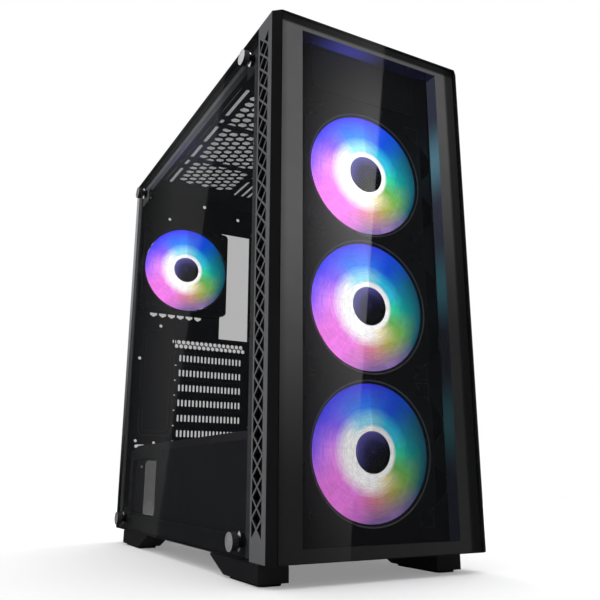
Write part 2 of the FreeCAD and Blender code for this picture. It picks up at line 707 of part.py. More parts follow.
def blade_section(height):
    """Curved strip that a blade shows where it crosses a plane `height` from the fan's axis."""
    steps = 8
    half = height * math.tan(math.radians(BLADE_HALF_ANGLE))
    shift = 0.12 * (height - FAN_HUB_R)
    thickness = 1.5 - 0.5 * height / BLADE_TIP_R
    y0, y1 = BLADE_Y
    front = []
    back = []
    for i in range(steps):
        f = i / (steps - 1)
        x = shift + half * (1 - 2 * f)
        y = y0 + (y1 - y0) * f - BLADE_CAMBER * math.sin(math.pi * f)
        front.append(V(x, y, height))
        back.append(V(x, y + thickness, height))
    outline = front + back[::-1]
    return Part.makePolygon(outline + outline[:1])


def fan_blade():
    heights = [9.0, 22.0, 40.0, BLADE_TIP_R + 4]
    blade = Part.makeLoft([blade_section(h) for h in heights], True, True)
    return blade.common(ring("Y", 0, 0, 0, FAN_DEPTH, BLADE_TIP_R, FAN_HUB_R - 0.8))


def fan_rotor():
    """Hub cup, shaft and swept blades, all one moulding pressed on its shaft."""
    cup = rod("Y", 1.0, 0, 0, 17.0, FAN_HUB_R)
    cup = cup.cut(rod("Y", 2.8, 0, 0, 17.0, FAN_HUB_R - 1.8))
    cup = cup.makeFillet(1.0, [e for e in cup.Edges if abs(e.CenterOfMass.y - 1.0) < 0.01])
    shaft = rod("Y", 2.0, 0, 0, 18.0, SHAFT_R)
    blade = fan_blade()
    parts = [cup, shaft]
    for i in range(FAN_BLADES):
        copy = blade.copy()
        copy.rotate(V(0, 0, 0), V(0, 1, 0), i * 360.0 / FAN_BLADES)
        parts.append(copy)
    return fuse(parts)


def fan_places():
    """Name and front centre of each fan."""
    names = ["lower", "middle", "upper"]
    places = [("front_fan_" + n, 0.0, FRONT_FAN_Y, z) for n, z in zip(names, FRONT_FAN_Z)]
    return places + [("rear_fan", REAR_FAN_X, REAR_FAN_Y, REAR_FAN_Z)]


def fan_screws():
    """Coarse screws through the sheet into the fan frames."""
    screws = []
    offset = FAN_HOLE_PITCH / 2
    for name, x, y, z in fan_places():
        for sx in (-1, 1):
            for sz in (-1, 1):
                a = x + sx * offset
                b = z + sz * offset
                if name == "rear_fan":
                    outer = REAR_WALL_Y + 1.2
                    shank = rod("Y", outer - 6.0, a, b, 6.0, 2.1)
                    head = rod("Y", outer, a, b, 2.4, 4.2)
                else:
                    outer = FRONT_PLATE_Y
                    shank = rod("Y", outer, a, b, 5.0, 2.1)
                    head = rod("Y", outer - 1.3, a, b, 1.3, 4.2)
                screws.append(fuse([shank, head]))
    return screws


# ================================================================ top controls
def io_board():
    """Control board with the two push switches that spring the buttons back."""
    parts = [box(-64.0, 62.0, IO_LINE_Y - 13.0, IO_LINE_Y + 13.0, 458.0, BOARD_TOP_Z)]
    for x in (POWER_X, RESET_X):
        case = box(x - 3.0, x + 3.0, IO_LINE_Y - 3.0, IO_LINE_Y + 3.0, BOARD_TOP_Z, STEM_LOW_Z - 0.4)
        parts.append(case.cut(rod("Z", BOARD_TOP_Z, x, IO_LINE_Y, 3.0, 2.5)))
    return parts


def io_housing():
    """Moulded tub under the top sheet that carries the control board."""
    x0, x1 = -66.0, 64.0
    y0, y1 = IO_LINE_Y - 15.0, IO_LINE_Y + 15.0
    low = 452.0
    high = TOP_Z - SHEET
    tub = box(x0, x1, y0, y1, low, high).cut(box(x0 + 2, x1 - 2, y0 + 2, y1 - 2, low + 2, high))
    ledges = [box(a, a + 3, y0 + 2, y1 - 2, low + 2, 458.0) for a in (x0 + 2, x1 - 5)]
    rib = box(x0, x1, y1, y1 + 2.0, low, low + 2.0)
    return fuse([tub, rib] + ledges)


def usb_sockets():
    """Metal shells with their tongues, opening upwards."""
    sockets = []
    for x in USB_X:
        shell = box(x - 6.9, x + 6.9, IO_LINE_Y - 3.3, IO_LINE_Y + 3.3, BOARD_TOP_Z, HEIGHT - 0.6)
        shell = shell.cut(box(x - 6.3, x + 6.3, IO_LINE_Y - 2.7, IO_LINE_Y + 2.7, 463.0, HEIGHT))
        tongue = box(x - 5.4, x + 5.4, IO_LINE_Y - 2.1, IO_LINE_Y - 0.2, 462.0, HEIGHT - 2.0)
        sockets.append(fuse([shell, tongue]))
    return sockets


def audio_sockets():
    sockets = []
    for x in AUDIO_X:
        body = rod("Z", BOARD_TOP_Z, x, IO_LINE_Y, HEIGHT - 0.6 - BOARD_TOP_Z, 4.0)
        sockets.append(body.cut(rod("Z", 462.0, x, IO_LINE_Y, 20.0, 1.8)))
    return sockets


def push_button(x, cap_r, stem_r):
    """Cap that stands in the bezel and its stem down to the switch."""
    cap = rod("Z", HEIGHT - 2.6, x, IO_LINE_Y, 2.6, cap_r)
    edge = [e for e in cap.Edges if abs(e.CenterOfMass.z - HEIGHT) < 0.01]
    cap = cap.makeFillet(0.8, edge)
    stem = rod("Z", STEM_LOW_Z, x, IO_LINE_Y, HEIGHT - 1.6 - STEM_LOW_Z, stem_r)
    return fuse([cap, stem])


# ================================================================ bezel and filters
def top_bezel():
    """Moulded frame on top: controls in front, open over the vents behind."""
    low = TOP_Z
    holes = [rounded("Z", low, FILTER_X[0], FILTER_X[1], FILTER_Y[0], FILTER_Y[1], 6.0)]
    holes.append(circle("Z", low, POWER_X, IO_LINE_Y, POWER_R + 0.35))
    holes.append(circle("Z", low, RESET_X, IO_LINE_Y, RESET_R + 0.35))
    for x in USB_X:
        holes.append(rectangle("Z", low, x - 7.2, x + 7.2, IO_LINE_Y - 3.6, IO_LINE_Y + 3.6))
    for x in AUDIO_X:
        holes.append(circle("Z", low, x, IO_LINE_Y, 4.2))
    outer = rounded("Z", low, -CHASSIS_X, SIDE_X - 1.4, BEZEL_FRONT_Y, PANEL_REAR_Y, 1.0)
    body = sheet("Z", low, HEIGHT, outer, holes)
    # shallow rebate round the vent opening that the filter's rim sits in
    rebate = sheet("Z", HEIGHT - 1.6, HEIGHT, rounded("Z", HEIGHT - 1.6, FILTER_X[0] - 3, FILTER_X[1] + 3,
                                                      FILTER_Y[0] - 3, FILTER_Y[1] + 3, 8.0))
    return body.cut(rebate)


def top_filter_frame():
    """Magnetic rim of the dust filter with two cross bars."""
    low = HEIGHT - 1.6
    gap = 0.4
    outer = rounded("Z", low, FILTER_X[0] - 3 + gap, FILTER_X[1] + 3 - gap, FILTER_Y[0] - 3 + gap,
                    FILTER_Y[1] + 3 - gap, 7.6)
    third = (FILTER_Y[1] - FILTER_Y[0]) / 3
    windows = []
    for i in range(3):
        y0 = FILTER_Y[0] + i * third
        windows.append(rounded("Z", low, FILTER_X[0] + 5, FILTER_X[1] - 5, y0 + 4, y0 + third - 4, 4.0))
    return sheet("Z", low, low + 1.5, outer, windows)


def top_filter_mesh():
    low = HEIGHT - 2.1
    return sheet("Z", low, low + 0.5, rounded("Z", low, FILTER_X[0] + 2, FILTER_X[1] - 2,
                                             FILTER_Y[0] + 2, FILTER_Y[1] - 2, 4.0))


def psu_filter_frame():
    """Sliding filter under the power supply, with a pull at the rear."""
    z = PSU_FILTER_Z
    x0, x1 = PSU_FILTER_X
    y0, y1 = PSU_FILTER_Y
    frame = sheet("Z", z, z + 2.4, rounded("Z", z, x0, x1, y0, y1, 2.0),
                  [rounded("Z", z, x0 + 7, x1 - 7, y0 + 7, y1 - 24, 3.0)])
    pull = box(-30.0, 10.0, y1 - 3, y1 + 2.5, z - 2.6, z + 2.4)
    return fuse([frame, pull])


def psu_filter_mesh():
    z = PSU_FILTER_Z + 2.4
    return sheet("Z", z, z + 0.4, rectangle("Z", z, PSU_FILTER_X[0] + 4, PSU_FILTER_X[1] - 4,
                                          PSU_FILTER_Y[0] + 4, PSU_FILTER_Y[1] - 21))


def psu_filter_guides():
    """Two rails under the floor that the filter slides in."""
    low = PSU_FILTER_Z - 1.6
    guides = []
    for x, side in ((PSU_FILTER_X[0], -1), (PSU_FILTER_X[1], 1)):
        wall_near = x + side * 0.5
        wall_far = x + side * 2.3
        outline = [(wall_near, FLOOR_Z), (wall_far, FLOOR_Z), (wall_far, low), (x - side * 4.0, low),
                   (x - side * 4.0, low + 1.2), (wall_near, low + 1.2)]
        guides.append(sheet("Y", 62.0, 212.0, polygon("Y", 62.0, outline)))
    return guides


# ================================================================ front panel
def front_frame():
    """Moulded front: cheeks beside the glass, a ring behind it and walls round the window."""
    y0 = FRONT_Y
    ring_front = y0 + FRONT_GLASS_T
    ring_back = ring_front + 3.0
    low = PANEL_LOW_Z
    gap = 0.3
    cheek = [(-FRONT_GLASS_HALF_X - gap, ring_front), (-FRONT_GLASS_HALF_X - gap, y0 + 0.4),
             (-SIDE_X, y0 + 6.0), (-SIDE_X + 2.0, y0 + 6.2), (-SIDE_X + 2.0, PANEL_FRONT_Y),
             (-FRONT_HALF_X - 0.6, PANEL_FRONT_Y), (-FRONT_HALF_X - 0.6, ring_back),
             (-WINDOW_HALF_X - 2.2, ring_back), (-WINDOW_HALF_X - 2.2, TUNNEL_REAR_Y),
             (-WINDOW_HALF_X, TUNNEL_REAR_Y), (-WINDOW_HALF_X, ring_front)]
    side = sheet("Z", low, HEIGHT, polygon("Z", low, cheek))
    opening = box(-SIDE_X, -FRONT_HALF_X, VENT_Y[0] - 0.8, VENT_Y[1] + 0.8, VENT_Z[0] - 2, VENT_Z[1] + 2)
    side = side.cut(opening)
    bars = []
    for z0, z1, wall0, wall1 in ((low, WINDOW_LOW_Z, WINDOW_LOW_Z - 2.2, WINDOW_LOW_Z),
                                 (WINDOW_TOP_Z, HEIGHT, WINDOW_TOP_Z, WINDOW_TOP_Z + 2.2)):
        bars.append(box(-WINDOW_HALF_X, WINDOW_HALF_X, ring_front, ring_back, z0, z1))
        bars.append(box(-WINDOW_HALF_X, WINDOW_HALF_X, ring_back, TUNNEL_REAR_Y, wall0, wall1))
    bars.append(box(-FRONT_HALF_X - 0.6, FRONT_HALF_X + 0.6, ring_back, PANEL_FRONT_Y, HEIGHT - 2.5, HEIGHT))
    bars.append(box(-FRONT_HALF_X - 0.6, FRONT_HALF_X + 0.6, ring_back, TUNNEL_REAR_Y, low, low + 2.2))
    return fuse([side, mirror_x(side)] + bars)


def side_vent():
    """Upright grille strip: crossing bars leave diamonds in the middle and triangles at the sides."""
    x = -SIDE_X
    y_front = FRONT_Y + 6.2
    outer = rectangle("X", x, y_front, PANEL_FRONT_Y, PANEL_LOW_Z, HEIGHT)
    middle = (VENT_Y[0] + VENT_Y[1]) / 2
    half = (VENT_Y[1] - VENT_Y[0]) / 2
    pitch = (VENT_Z[1] - VENT_Z[0]) / VENT_CELLS
    bar = 1.9                       # width of a crossing bar
    rise = pitch / (2 * half)       # slope of the bars
    clear = bar / 2 * math.hypot(1.0, rise)
    holes = []
    for i in range(VENT_CELLS):
        z = VENT_Z[0] + (i + 0.5) * pitch
        reach = pitch / 2 - clear
        side_y = half - reach / rise
        # a triangle against each edge, between two crossings of the bars
        for s in (-1, 1):
            holes.append(polygon("X", x, [(middle + s * half, z - reach), (middle + s * half, z + reach),
                                          (middle + s * side_y, z)]))
    for i in range(1, VENT_CELLS):
        z = VENT_Z[0] + i * pitch
        reach = pitch / 2 - clear
        limit = min(half - 0.4, reach / rise)
        tip = reach - limit * rise
        if tip > 0.3:
            outline = [(0, reach), (limit, tip), (limit, -tip), (0, -reach), (-limit, -tip), (-limit, tip)]
        else:
            outline = [(0, reach), (limit, 0), (0, -reach), (-limit, 0)]
        holes.append(polygon("X", x, [(middle + a, z + b) for a, b in outline]))
    strip = sheet("X", x, x + 2.0, outer, holes)
    return strip


def front_glass():
    level = FRONT_Y
    return sheet("Y", level, level + FRONT_GLASS_T,
                 rounded("Y", level, -FRONT_GLASS_HALF_X, FRONT_GLASS_HALF_X, PANEL_LOW_Z, HEIGHT, 1.5))


def front_clips():
    """Snap pins that hold the front panel on the front plate."""
    start = FRONT_Y + FRONT_GLASS_T + 3.0
    clips = []
    for x, z in CLIP_PLACES:
        stem = rod("Y", start, x, z, 16.0, 2.6)
        collar = rod("Y", start, x, z, 6.0, 5.0)
        barb = Part.makeCone(3.3, 1.6, 3.0, V(x, start + 16.0, z), V(0, 1, 0))
        clips.append(fuse([stem, collar, barb]))
    return clips


# ================================================================ side panels
def side_glass():
    x = -SIDE_X
    holes = [circle("X", x, y, z, 4.3) for y in SCREW_Y for z in SCREW_Z]
    return sheet("X", x, x + SIDE_GLASS_T,
                 rounded("X", x, PANEL_FRONT_Y + 0.4, PANEL_REAR_Y, PANEL_LOW_Z, HEIGHT, 1.5), holes)


def glass_bushes():
    """Rubber bushes that line the screw holes in the glass."""
    bushes = []
    for y in SCREW_Y:
        for z in SCREW_Z:
            bushes.append(ring("X", -SIDE_X, y, z, SIDE_GLASS_T, 4.25, SCREW_SHANK_R + 0.3))
    return bushes


def thumbscrew():
    """Knurled head with a tapered base; the head's outer face is at -X."""
    base = 0.2
    tip = -SCREW_HEAD_H - base
    head = rod("X", tip, 0, 0, 5.4, SCREW_HEAD_R)
    grooves = []
    for i in range(24):
        angle = math.radians(15.0 * i)
        grooves.append(rod("X", tip + 1.0, (SCREW_HEAD_R + 0.25) * math.cos(angle),
                           (SCREW_HEAD_R + 0.25) * math.sin(angle), 4.4, 0.55))
    head = head.cut(grooves)
    taper = Part.makeCone(SCREW_HEAD_R - 0.4, 4.6, SCREW_HEAD_H - 5.4, V(tip + 5.4, 0, 0), V(1, 0, 0))
    shank = rod("X", -base - 1.0, 0, 0, 10.6, SCREW_SHANK_R)
    recess = rod("X", tip, 0, 0, 0.6, SCREW_HEAD_R - 2.2)
    return fuse([head, taper, shank]).cut(recess)


def right_panel():
    """Steel side panel, folded at the rear to meet the chassis rim."""
    x = SIDE_X - SHEET
    skin = sheet("X", x, SIDE_X, rectangle("X", x, PANEL_FRONT_Y + 0.4, PANEL_REAR_Y, PANEL_LOW_Z, HEIGHT))
    level = CHASSIS_REAR_Y + 0.3
    fold = sheet("Y", level, level + SHEET - 0.3,
                 rectangle("Y", level, 88.0, SIDE_X, 30.0, 462.0),
                 [circle("Y", level, 94.0, z, 2.4) for z in RIGHT_SCREW_Z])
    front_fold = box(SIDE_X - 2.6, SIDE_X, PANEL_FRONT_Y + 0.4, PANEL_FRONT_Y + 1.4, 24.0, 470.0)
    return fuse([skin, fold, front_fold])


def right_screw():
    level = PANEL_REAR_Y + 0.1
    head = rod("Y", level, 0, 0, 6.0, 5.5)
    grooves = []
    for i in range(18):
        angle = math.radians(20.0 * i)
        grooves.append(rod("Y", level, 5.75 * math.cos(angle), 5.75 * math.sin(angle), 5.0, 0.5))
    shank = rod("Y", level - 6.0, 0, 0, 6.5, 1.7)
    return fuse([head.cut(grooves), shank])


# ================================================================ write every node
def main():
    os.makedirs("parts", exist_ok=True)
    save("chassis_floor", chassis_floor())
    save("lower_rails", lower_rails())
    save("top_rails", rails_at_top())
    save("front_pillars", front_pillars())
    save("glass_posts", glass_posts())
    save("front_plate", front_plate())
    save("front_module_cover", module_cover())
    save("top_panel", top_panel())
    save("rear_panel", rear_panel())
    save("rear_rims", rear_rims())
    save("motherboard_tray", motherboard_tray())
    save("board_standoffs", board_standoffs())
    save("psu_shroud", psu_shroud())
    save("slot_covers", slot_covers())
    save("slot_screws", slot_screws())
    save("slot_screw_cover", slot_screw_cover())
    save("feet", feet())
    save("foot_pads", foot_pads())
    save("drive_cage", drive_cage())
    save("drive_tray_lower", drive_tray(DRIVE_TRAY_Z[0]))
    save("drive_tray_upper", drive_tray(DRIVE_TRAY_Z[1]))
    save("ssd_brackets", ssd_brackets())
    save("fan_hub", fan_hub())
    save("psu_pads", psu_pads())

    frame = fan_frame()
    stator = fan_stator()
    rotor = fan_rotor()
    for name, x, y, z in fan_places():
        save(name + "_frame", moved(frame, x, y, z))
        save(name + "_rotor", moved(rotor, x, y, z))
    save("fan_stators", [moved(stator, x, y, z) for name, x, y, z in fan_places()])
    save("fan_screws", fan_screws())

    save("io_housing", io_housing())
    save("io_board", io_board())
    save("usb_sockets", usb_sockets())
    save("audio_sockets", audio_sockets())
    save("power_button", push_button(POWER_X, POWER_R, 2.2))
    save("reset_button", push_button(RESET_X, RESET_R, 1.6))
    save("top_bezel", top_bezel())
    save("top_filter_frame", top_filter_frame())
    save("top_filter_mesh", top_filter_mesh())
    save("psu_filter_frame", psu_filter_frame())
    save("psu_filter_mesh", psu_filter_mesh())
    save("psu_filter_guides", psu_filter_guides())

    save("front_frame", front_frame())
    save("front_glass", front_glass())
    vent = side_vent()
    save("left_vent", vent)
    save("right_vent", mirror_x(vent))
    save("front_clips", front_clips())

    save("side_glass", side_glass())
    save("glass_bushes", glass_bushes())
    screw = thumbscrew()
    names = ["front_lower", "front_upper", "rear_lower", "rear_upper"]
    places = [(y, z) for y in SCREW_Y for z in SCREW_Z]
    for name, (y, z) in zip(names, places):
        save("thumbscrew_" + name, moved(screw, -SIDE_X, y, z))
    save("right_panel", right_panel())
    for name, z in zip(["lower", "upper"], RIGHT_SCREW_Z):
        save("right_screw_" + name, moved(right_screw(), 94.0, 0, z))


main()
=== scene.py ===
import math

import bmesh
import bpy
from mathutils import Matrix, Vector


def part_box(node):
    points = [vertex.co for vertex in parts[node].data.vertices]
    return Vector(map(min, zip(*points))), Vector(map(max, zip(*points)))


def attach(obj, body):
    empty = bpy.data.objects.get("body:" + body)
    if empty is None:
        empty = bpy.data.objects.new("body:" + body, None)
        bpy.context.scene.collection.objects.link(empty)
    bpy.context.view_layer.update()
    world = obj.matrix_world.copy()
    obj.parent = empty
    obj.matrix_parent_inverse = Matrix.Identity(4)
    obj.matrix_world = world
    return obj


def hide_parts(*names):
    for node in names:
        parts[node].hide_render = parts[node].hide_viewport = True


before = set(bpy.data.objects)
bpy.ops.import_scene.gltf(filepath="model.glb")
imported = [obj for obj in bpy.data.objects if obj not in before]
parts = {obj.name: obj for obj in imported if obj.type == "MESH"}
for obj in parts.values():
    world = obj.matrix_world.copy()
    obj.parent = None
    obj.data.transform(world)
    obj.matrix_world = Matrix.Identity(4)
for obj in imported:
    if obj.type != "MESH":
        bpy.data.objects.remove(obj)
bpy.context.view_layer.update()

scene = bpy.context.scene
scene.view_settings.view_transform = "Standard"
MM = 0.001
FRONT_FANS = ("front_fan_lower", "front_fan_middle", "front_fan_upper")
SCREW_PLACES = ("front_lower", "front_upper", "rear_lower", "rear_upper")


# ---------------------------------------------------------------- camera
CAMERA_PLACE = (-0.3302, -0.6834, 0.0783)
CAMERA_LENS = 40.78
CAMERA_UP = 14.60
CAMERA_ROLL = -0.05
CAMERA_TURN = -28.43


def make_camera():
    """Low at the front left, looking up at the case."""
    data = bpy.data.cameras.new("camera")
    data.sensor_width = 36.0
    data.lens = CAMERA_LENS
    data.clip_start = 0.02
    data.clip_end = 60.0
    cam = bpy.data.objects.new("camera", data)
    scene.collection.objects.link(cam)
    cam.location = CAMERA_PLACE
    cam.rotation_euler = [math.radians(a) for a in (90 + CAMERA_UP, CAMERA_ROLL, CAMERA_TURN)]
    scene.camera = cam


# ---------------------------------------------------------------- material helpers
class Shade:
    """A material's node tree with short calls for the nodes used here."""

    def __init__(self, name):
        self.mat = bpy.data.materials.new(name)
        self.mat.use_nodes = True
        self.tree = self.mat.node_tree
        self.bsdf = self.tree.nodes["Principled BSDF"]
        self.out = self.tree.nodes["Material Output"]
        self.place = self.tree.nodes.new("ShaderNodeTexCoord").outputs["Object"]

    def node(self, kind, inputs=None, **settings):
        n = self.tree.nodes.new("ShaderNode" + kind)
        for key, value in settings.items():
            setattr(n, key, value)
        for key, value in (inputs or {}).items():
            if isinstance(value, bpy.types.NodeSocket):
                self.tree.links.new(value, n.inputs[key])
            else:
                n.inputs[key].default_value = value
        return n

    def set(self, **values):
        """Sets or links inputs of the shader; an underscore stands for a space."""
        for key, value in values.items():
            socket = self.bsdf.inputs[key.replace("_", " ")]
            if isinstance(value, bpy.types.NodeSocket):
                self.tree.links.new(value, socket)
            else:
                socket.default_value = value

    def noise(self, scale, detail=2.0, rough=0.5, stretch=None):
        where = self.place
        if stretch:
            where = self.node("Mapping", {"Vector": where, "Scale": stretch}).outputs["Vector"]
        n = self.node("TexNoise", {"Vector": where, "Scale": scale, "Detail": detail,
                                   "Roughness": rough})
        return n.outputs["Fac"]

    def span(self, value, low, high, to_low, to_high, smooth=False):
        """Maps low to high onto to_low to to_high, and stays there beyond the ends."""
        n = self.node("MapRange", {"Value": value, "From Min": low, "From Max": high,
                                   "To Min": to_low, "To Max": to_high})
        if smooth:
            n.interpolation_type = "SMOOTHSTEP"
        return n.outputs["Result"]

    def vary(self, noise, low, high):
        """Spreads the usual range of a noise between two values."""
        return self.span(noise, 0.3, 0.7, low, high)

    def calc(self, operation, a, b=0.0):
        return self.node("Math", {0: a, 1: b}, operation=operation).outputs[0]

    def times(self, a, b):
        return self.calc("MULTIPLY", a, b)

    def mix(self, factor, a, b, blend="MIX"):
        """Mixes two colours; 0, 6 and 7 are the node's factor and colour inputs."""
        n = self.node("Mix", {0: factor}, data_type="RGBA", blend_type=blend)
        for index, value in ((6, a), (7, b)):
            if isinstance(value, bpy.types.NodeSocket):
                self.tree.links.new(value, n.inputs[index])
            else:
                n.inputs[index].default_value = value
        return n.outputs[2]

    def colour(self, red, green, blue):
        return self.node("CombineColor", {0: red, 1: green, 2: blue}).outputs[0]

    def axis(self, letter):
        """One coordinate of the object's own frame, in metres."""
        return self.node("SeparateXYZ", {0: self.place}).outputs[letter]

    def bump(self, height, distance, strength, normal=None):
        inputs = {"Height": height, "Distance": distance, "Strength": strength}
        if normal is not None:
            inputs["Normal"] = normal
        return self.node("Bump", inputs).outputs["Normal"]


def rgba(colour):
    return (colour[0], colour[1], colour[2], 1.0)


def surface(name, colour, rough, metallic=0.0, grain=1100.0, depth=0.02, mottle=0.25,
            spread=0.08, edge=0.35, wear_and_highlight=0.0, specular=0.5, lines=None):
    """Moulded, painted or metal surface.

    It has a fine grain in the bump, a slow drift in colour and gloss, and rounded edges, which can
    be painted paler: partly rubbed paint, partly a painted highlight."""
    s = Shade(name)
    slow = s.noise(16.0, 5.0, 0.6)
    fine = s.noise(grain, 2.0, 0.6, stretch=lines)
    dark = rgba([c * (1 - mottle) for c in colour])
    light = rgba([min(1.0, c * (1 + mottle)) for c in colour])
    paint = s.mix(slow, dark, light)
    soft = s.node("Bevel", {"Radius": edge * MM}, samples=3).outputs["Normal"]
    # Paler edges: partly rubbed paint on the edges, partly a painted highlight along them.
    if wear_and_highlight > 0.0:
        flat = s.node("NewGeometry").outputs["Normal"]
        bend = s.node("VectorMath", {0: soft, 1: flat}, operation="DOT_PRODUCT").outputs["Value"]
        worn_and_lit = s.span(s.calc("ADD", bend, s.times(slow, 0.02)), 0.97, 0.90, 0.0, wear_and_highlight)
        paint = s.mix(worn_and_lit, paint, rgba([min(1.0, c * 3 + 0.05) for c in colour]))
    gloss = s.calc("ADD", s.vary(slow, rough - spread, rough + spread), s.vary(fine, -0.02, 0.02))
    s.set(Base_Color=paint, Roughness=gloss, Metallic=metallic, Specular_IOR_Level=specular,
          Normal=s.bump(fine, depth * MM, 0.5, soft))
    return s.mat


def tinted_glass(name, tint, alpha, ior):
    """Dark glass as a pane: what is behind shows through, with faint smears in the gloss."""
    s = Shade(name)
    smear = s.noise(7.0, 6.0, 0.65, stretch=(1.0, 1.0, 0.35))
    s.set(Base_Color=rgba(tint), Roughness=s.span(smear, 0.45, 0.75, 0.012, 0.05), IOR=ior,
          Alpha=alpha)
    return s.mat


WHITE = (1.0, 1.0, 1.0)
SKY = (0.30, 0.75, 0.95)
AZURE = (0.03, 0.22, 0.98)
DEEP_BLUE = (0.0, 0.07, 0.75)
CYAN = (0.03, 0.55, 0.80)
TEAL = (0.0, 0.20, 0.38)
SEA_GREEN = (0.0, 0.30, 0.26)
MINT = (0.03, 0.65, 0.35)
LEAF = (0.15, 0.42, 0.08)
OLIVE = (0.38, 0.34, 0.08)
CREAM = (0.80, 0.70, 0.40)
ROSE = (0.65, 0.20, 0.30)
PINK = (0.88, 0.20, 0.82)
ORCHID = (0.85, 0.28, 0.98)
VIOLET = (0.26, 0.11, 0.98)
INDIGO = (0.05, 0.05, 0.92)
PLUM = (0.20, 0.12, 0.35)
NIGHT = (0.0, 0.07, 0.12)
# A fan's light at the hours of a clock face, from twelve, near the hub, further out and at the rim.
INNER_WHEEL = [SKY, CYAN, CYAN, MINT, LEAF, CREAM, WHITE, WHITE, WHITE, WHITE, WHITE, SKY]
MIDDLE_WHEEL = [AZURE, DEEP_BLUE, TEAL, SEA_GREEN, LEAF, OLIVE,
                ROSE, PINK, PINK, ORCHID, VIOLET, AZURE]
RIM_WHEEL = [INDIGO, DEEP_BLUE, NIGHT, NIGHT, NIGHT, PLUM,
             PLUM, PINK, PINK, VIOLET, INDIGO, INDIGO]
# Where, out from the axis, the light goes over from one of them to the next.
CORE_TO_INNER = (20 * MM, 24 * MM)
INNER_TO_MIDDLE = (27 * MM, 38 * MM)
MIDDLE_TO_RIM = (39 * MM, 56 * MM)


def axis_polar(s, cx, cz):
    """Distance from a fan's axis, and the turn about it: 0 to 1, clockwise from the top."""
    dx = s.calc("SUBTRACT", s.axis("X"), cx)
    dz = s.calc("SUBTRACT", s.axis("Z"), cz)
    r = s.calc("SQRT", s.calc("ADD", s.times(dx, dx), s.times(dz, dz)))
    turn = s.calc("DIVIDE", s.calc("ARCTAN2", dx, dz), 2 * math.pi)
    return r, s.calc("FRACT", s.calc("ADD", turn, 1.0))


def colour_wheel(s, turn, colours):
    """Blends the twelve colours of a clock face round the turn."""
    n = s.node("ValToRGB", {0: turn})
    ramp = n.color_ramp
    closed = colours + colours[:1]
    while len(ramp.elements) < len(closed):
        ramp.elements.new(0.5)
    for i, colour in enumerate(closed):
        ramp.elements[i].position = i / (len(closed) - 1)
        ramp.elements[i].color = rgba(colour)
    return n.outputs["Color"]


def ring_glow(s, cx, cz):
    """Colour of the light that a fan throws, from a white core to deep colours at the rim."""
    r, turn = axis_polar(s, cx, cz)
    inner = colour_wheel(s, turn, INNER_WHEEL)
    middle = colour_wheel(s, turn, MIDDLE_WHEEL)
    rim = colour_wheel(s, turn, RIM_WHEEL)
    colour = s.mix(s.span(r, *INNER_TO_MIDDLE, 0.0, 1.0), inner, middle)
    colour = s.mix(s.span(r, *MIDDLE_TO_RIM, 0.0, 1.0), colour, rim)
    core = s.span(r, *CORE_TO_INNER, 1.0, 0.0, smooth=True)
    return s.mix(core, colour, rgba(WHITE)), r, turn


def frosted_light(name, cx, cz, power):
    """Frosted plastic lit from the hub, with fine rings and streaks."""
    s = Shade(name)
    colour, r, turn = ring_glow(s, cx, cz)
    rings = s.node("CombineXYZ", {0: s.times(r, 900.0), 1: s.times(turn, 22.0)}).outputs[0]
    ring = s.node("TexNoise", {"Vector": rings, "Scale": 1.0, "Detail": 3.0,
                               "Roughness": 0.65}).outputs["Fac"]
    rays = s.node("CombineXYZ", {0: s.times(r, 30.0), 1: s.times(turn, 75.0)}).outputs[0]
    ray = s.node("TexNoise", {"Vector": rays, "Scale": 1.0, "Detail": 2.0}).outputs["Fac"]
    ripple = s.times(s.vary(ring, 0.78, 1.22), s.vary(ray, 0.92, 1.06))
    dimmed_right = s.span(turn, 0.15, 0.45, 0.82, 1.0)
    s.set(Base_Color=(0.035, 0.036, 0.04, 1.0), Roughness=s.vary(ray, 0.36, 0.5),
          Emission_Color=colour,
          Emission_Strength=s.times(s.times(ripple, power), dimmed_right),
          Normal=s.bump(ring, 0.05 * MM, 0.5))
    return s.mat


def lit_blades(name, cx, cz, power):
    """Smoky blades round a black hub; they give off the colours of the ring."""
    s = Shade(name)
    colour, r = ring_glow(s, cx, cz)[:2]
    grain = s.noise(1400.0, 2.0, 0.5)
    outside = s.span(r, 17.3 * MM, 18.0 * MM, 0.0, 1.0)
    base = s.mix(outside, (0.012, 0.012, 0.014, 1.0), (0.16, 0.165, 0.18, 1.0))
    s.set(Base_Color=base, Roughness=s.vary(grain, 0.34, 0.46), Emission_Color=colour,
          Emission_Strength=s.times(outside, power), Normal=s.bump(grain, 0.01 * MM, 0.4))
    return s.mat


def hub_painted_sheen(name, cx, cz, power):
    """Glossy black hub; its violet sheen, most at the upper left, with rings and a brighter middle,
    is a painted reflection in emission.
    """
    s = Shade(name)
    r = axis_polar(s, cx, cz)[0]
    up = s.times(s.calc("SUBTRACT", s.axis("Z"), cz), 0.75)
    right = s.times(s.calc("SUBTRACT", s.axis("X"), cx), 0.65)
    side = s.span(s.calc("SUBTRACT", up, right), -9 * MM, 16 * MM, 0.0, 1.0, smooth=True)
    rim = s.span(r, 8 * MM, 16.5 * MM, 0.10, 0.34)
    core = s.span(r, 0.8 * MM, 1.8 * MM, 0.25, 0.0)
    rings = s.span(s.calc("SINE", s.times(r, 3600.0)), -1.0, 1.0, 0.5, 1.3)
    # Emission level: the painted reflection, strongest at the upper left, with rings and a brighter
    # middle.
    level = s.times(s.times(side, s.calc("ADD", rim, core)), s.times(rings, power))
    grain = s.noise(1900.0)
    s.set(Base_Color=(0.006, 0.006, 0.008, 1.0), Roughness=s.vary(grain, 0.12, 0.2),
          Emission_Color=(0.28, 0.24, 1.0, 1.0), Emission_Strength=level,
          Normal=s.bump(grain, 0.004 * MM, 0.4))
    return s.mat


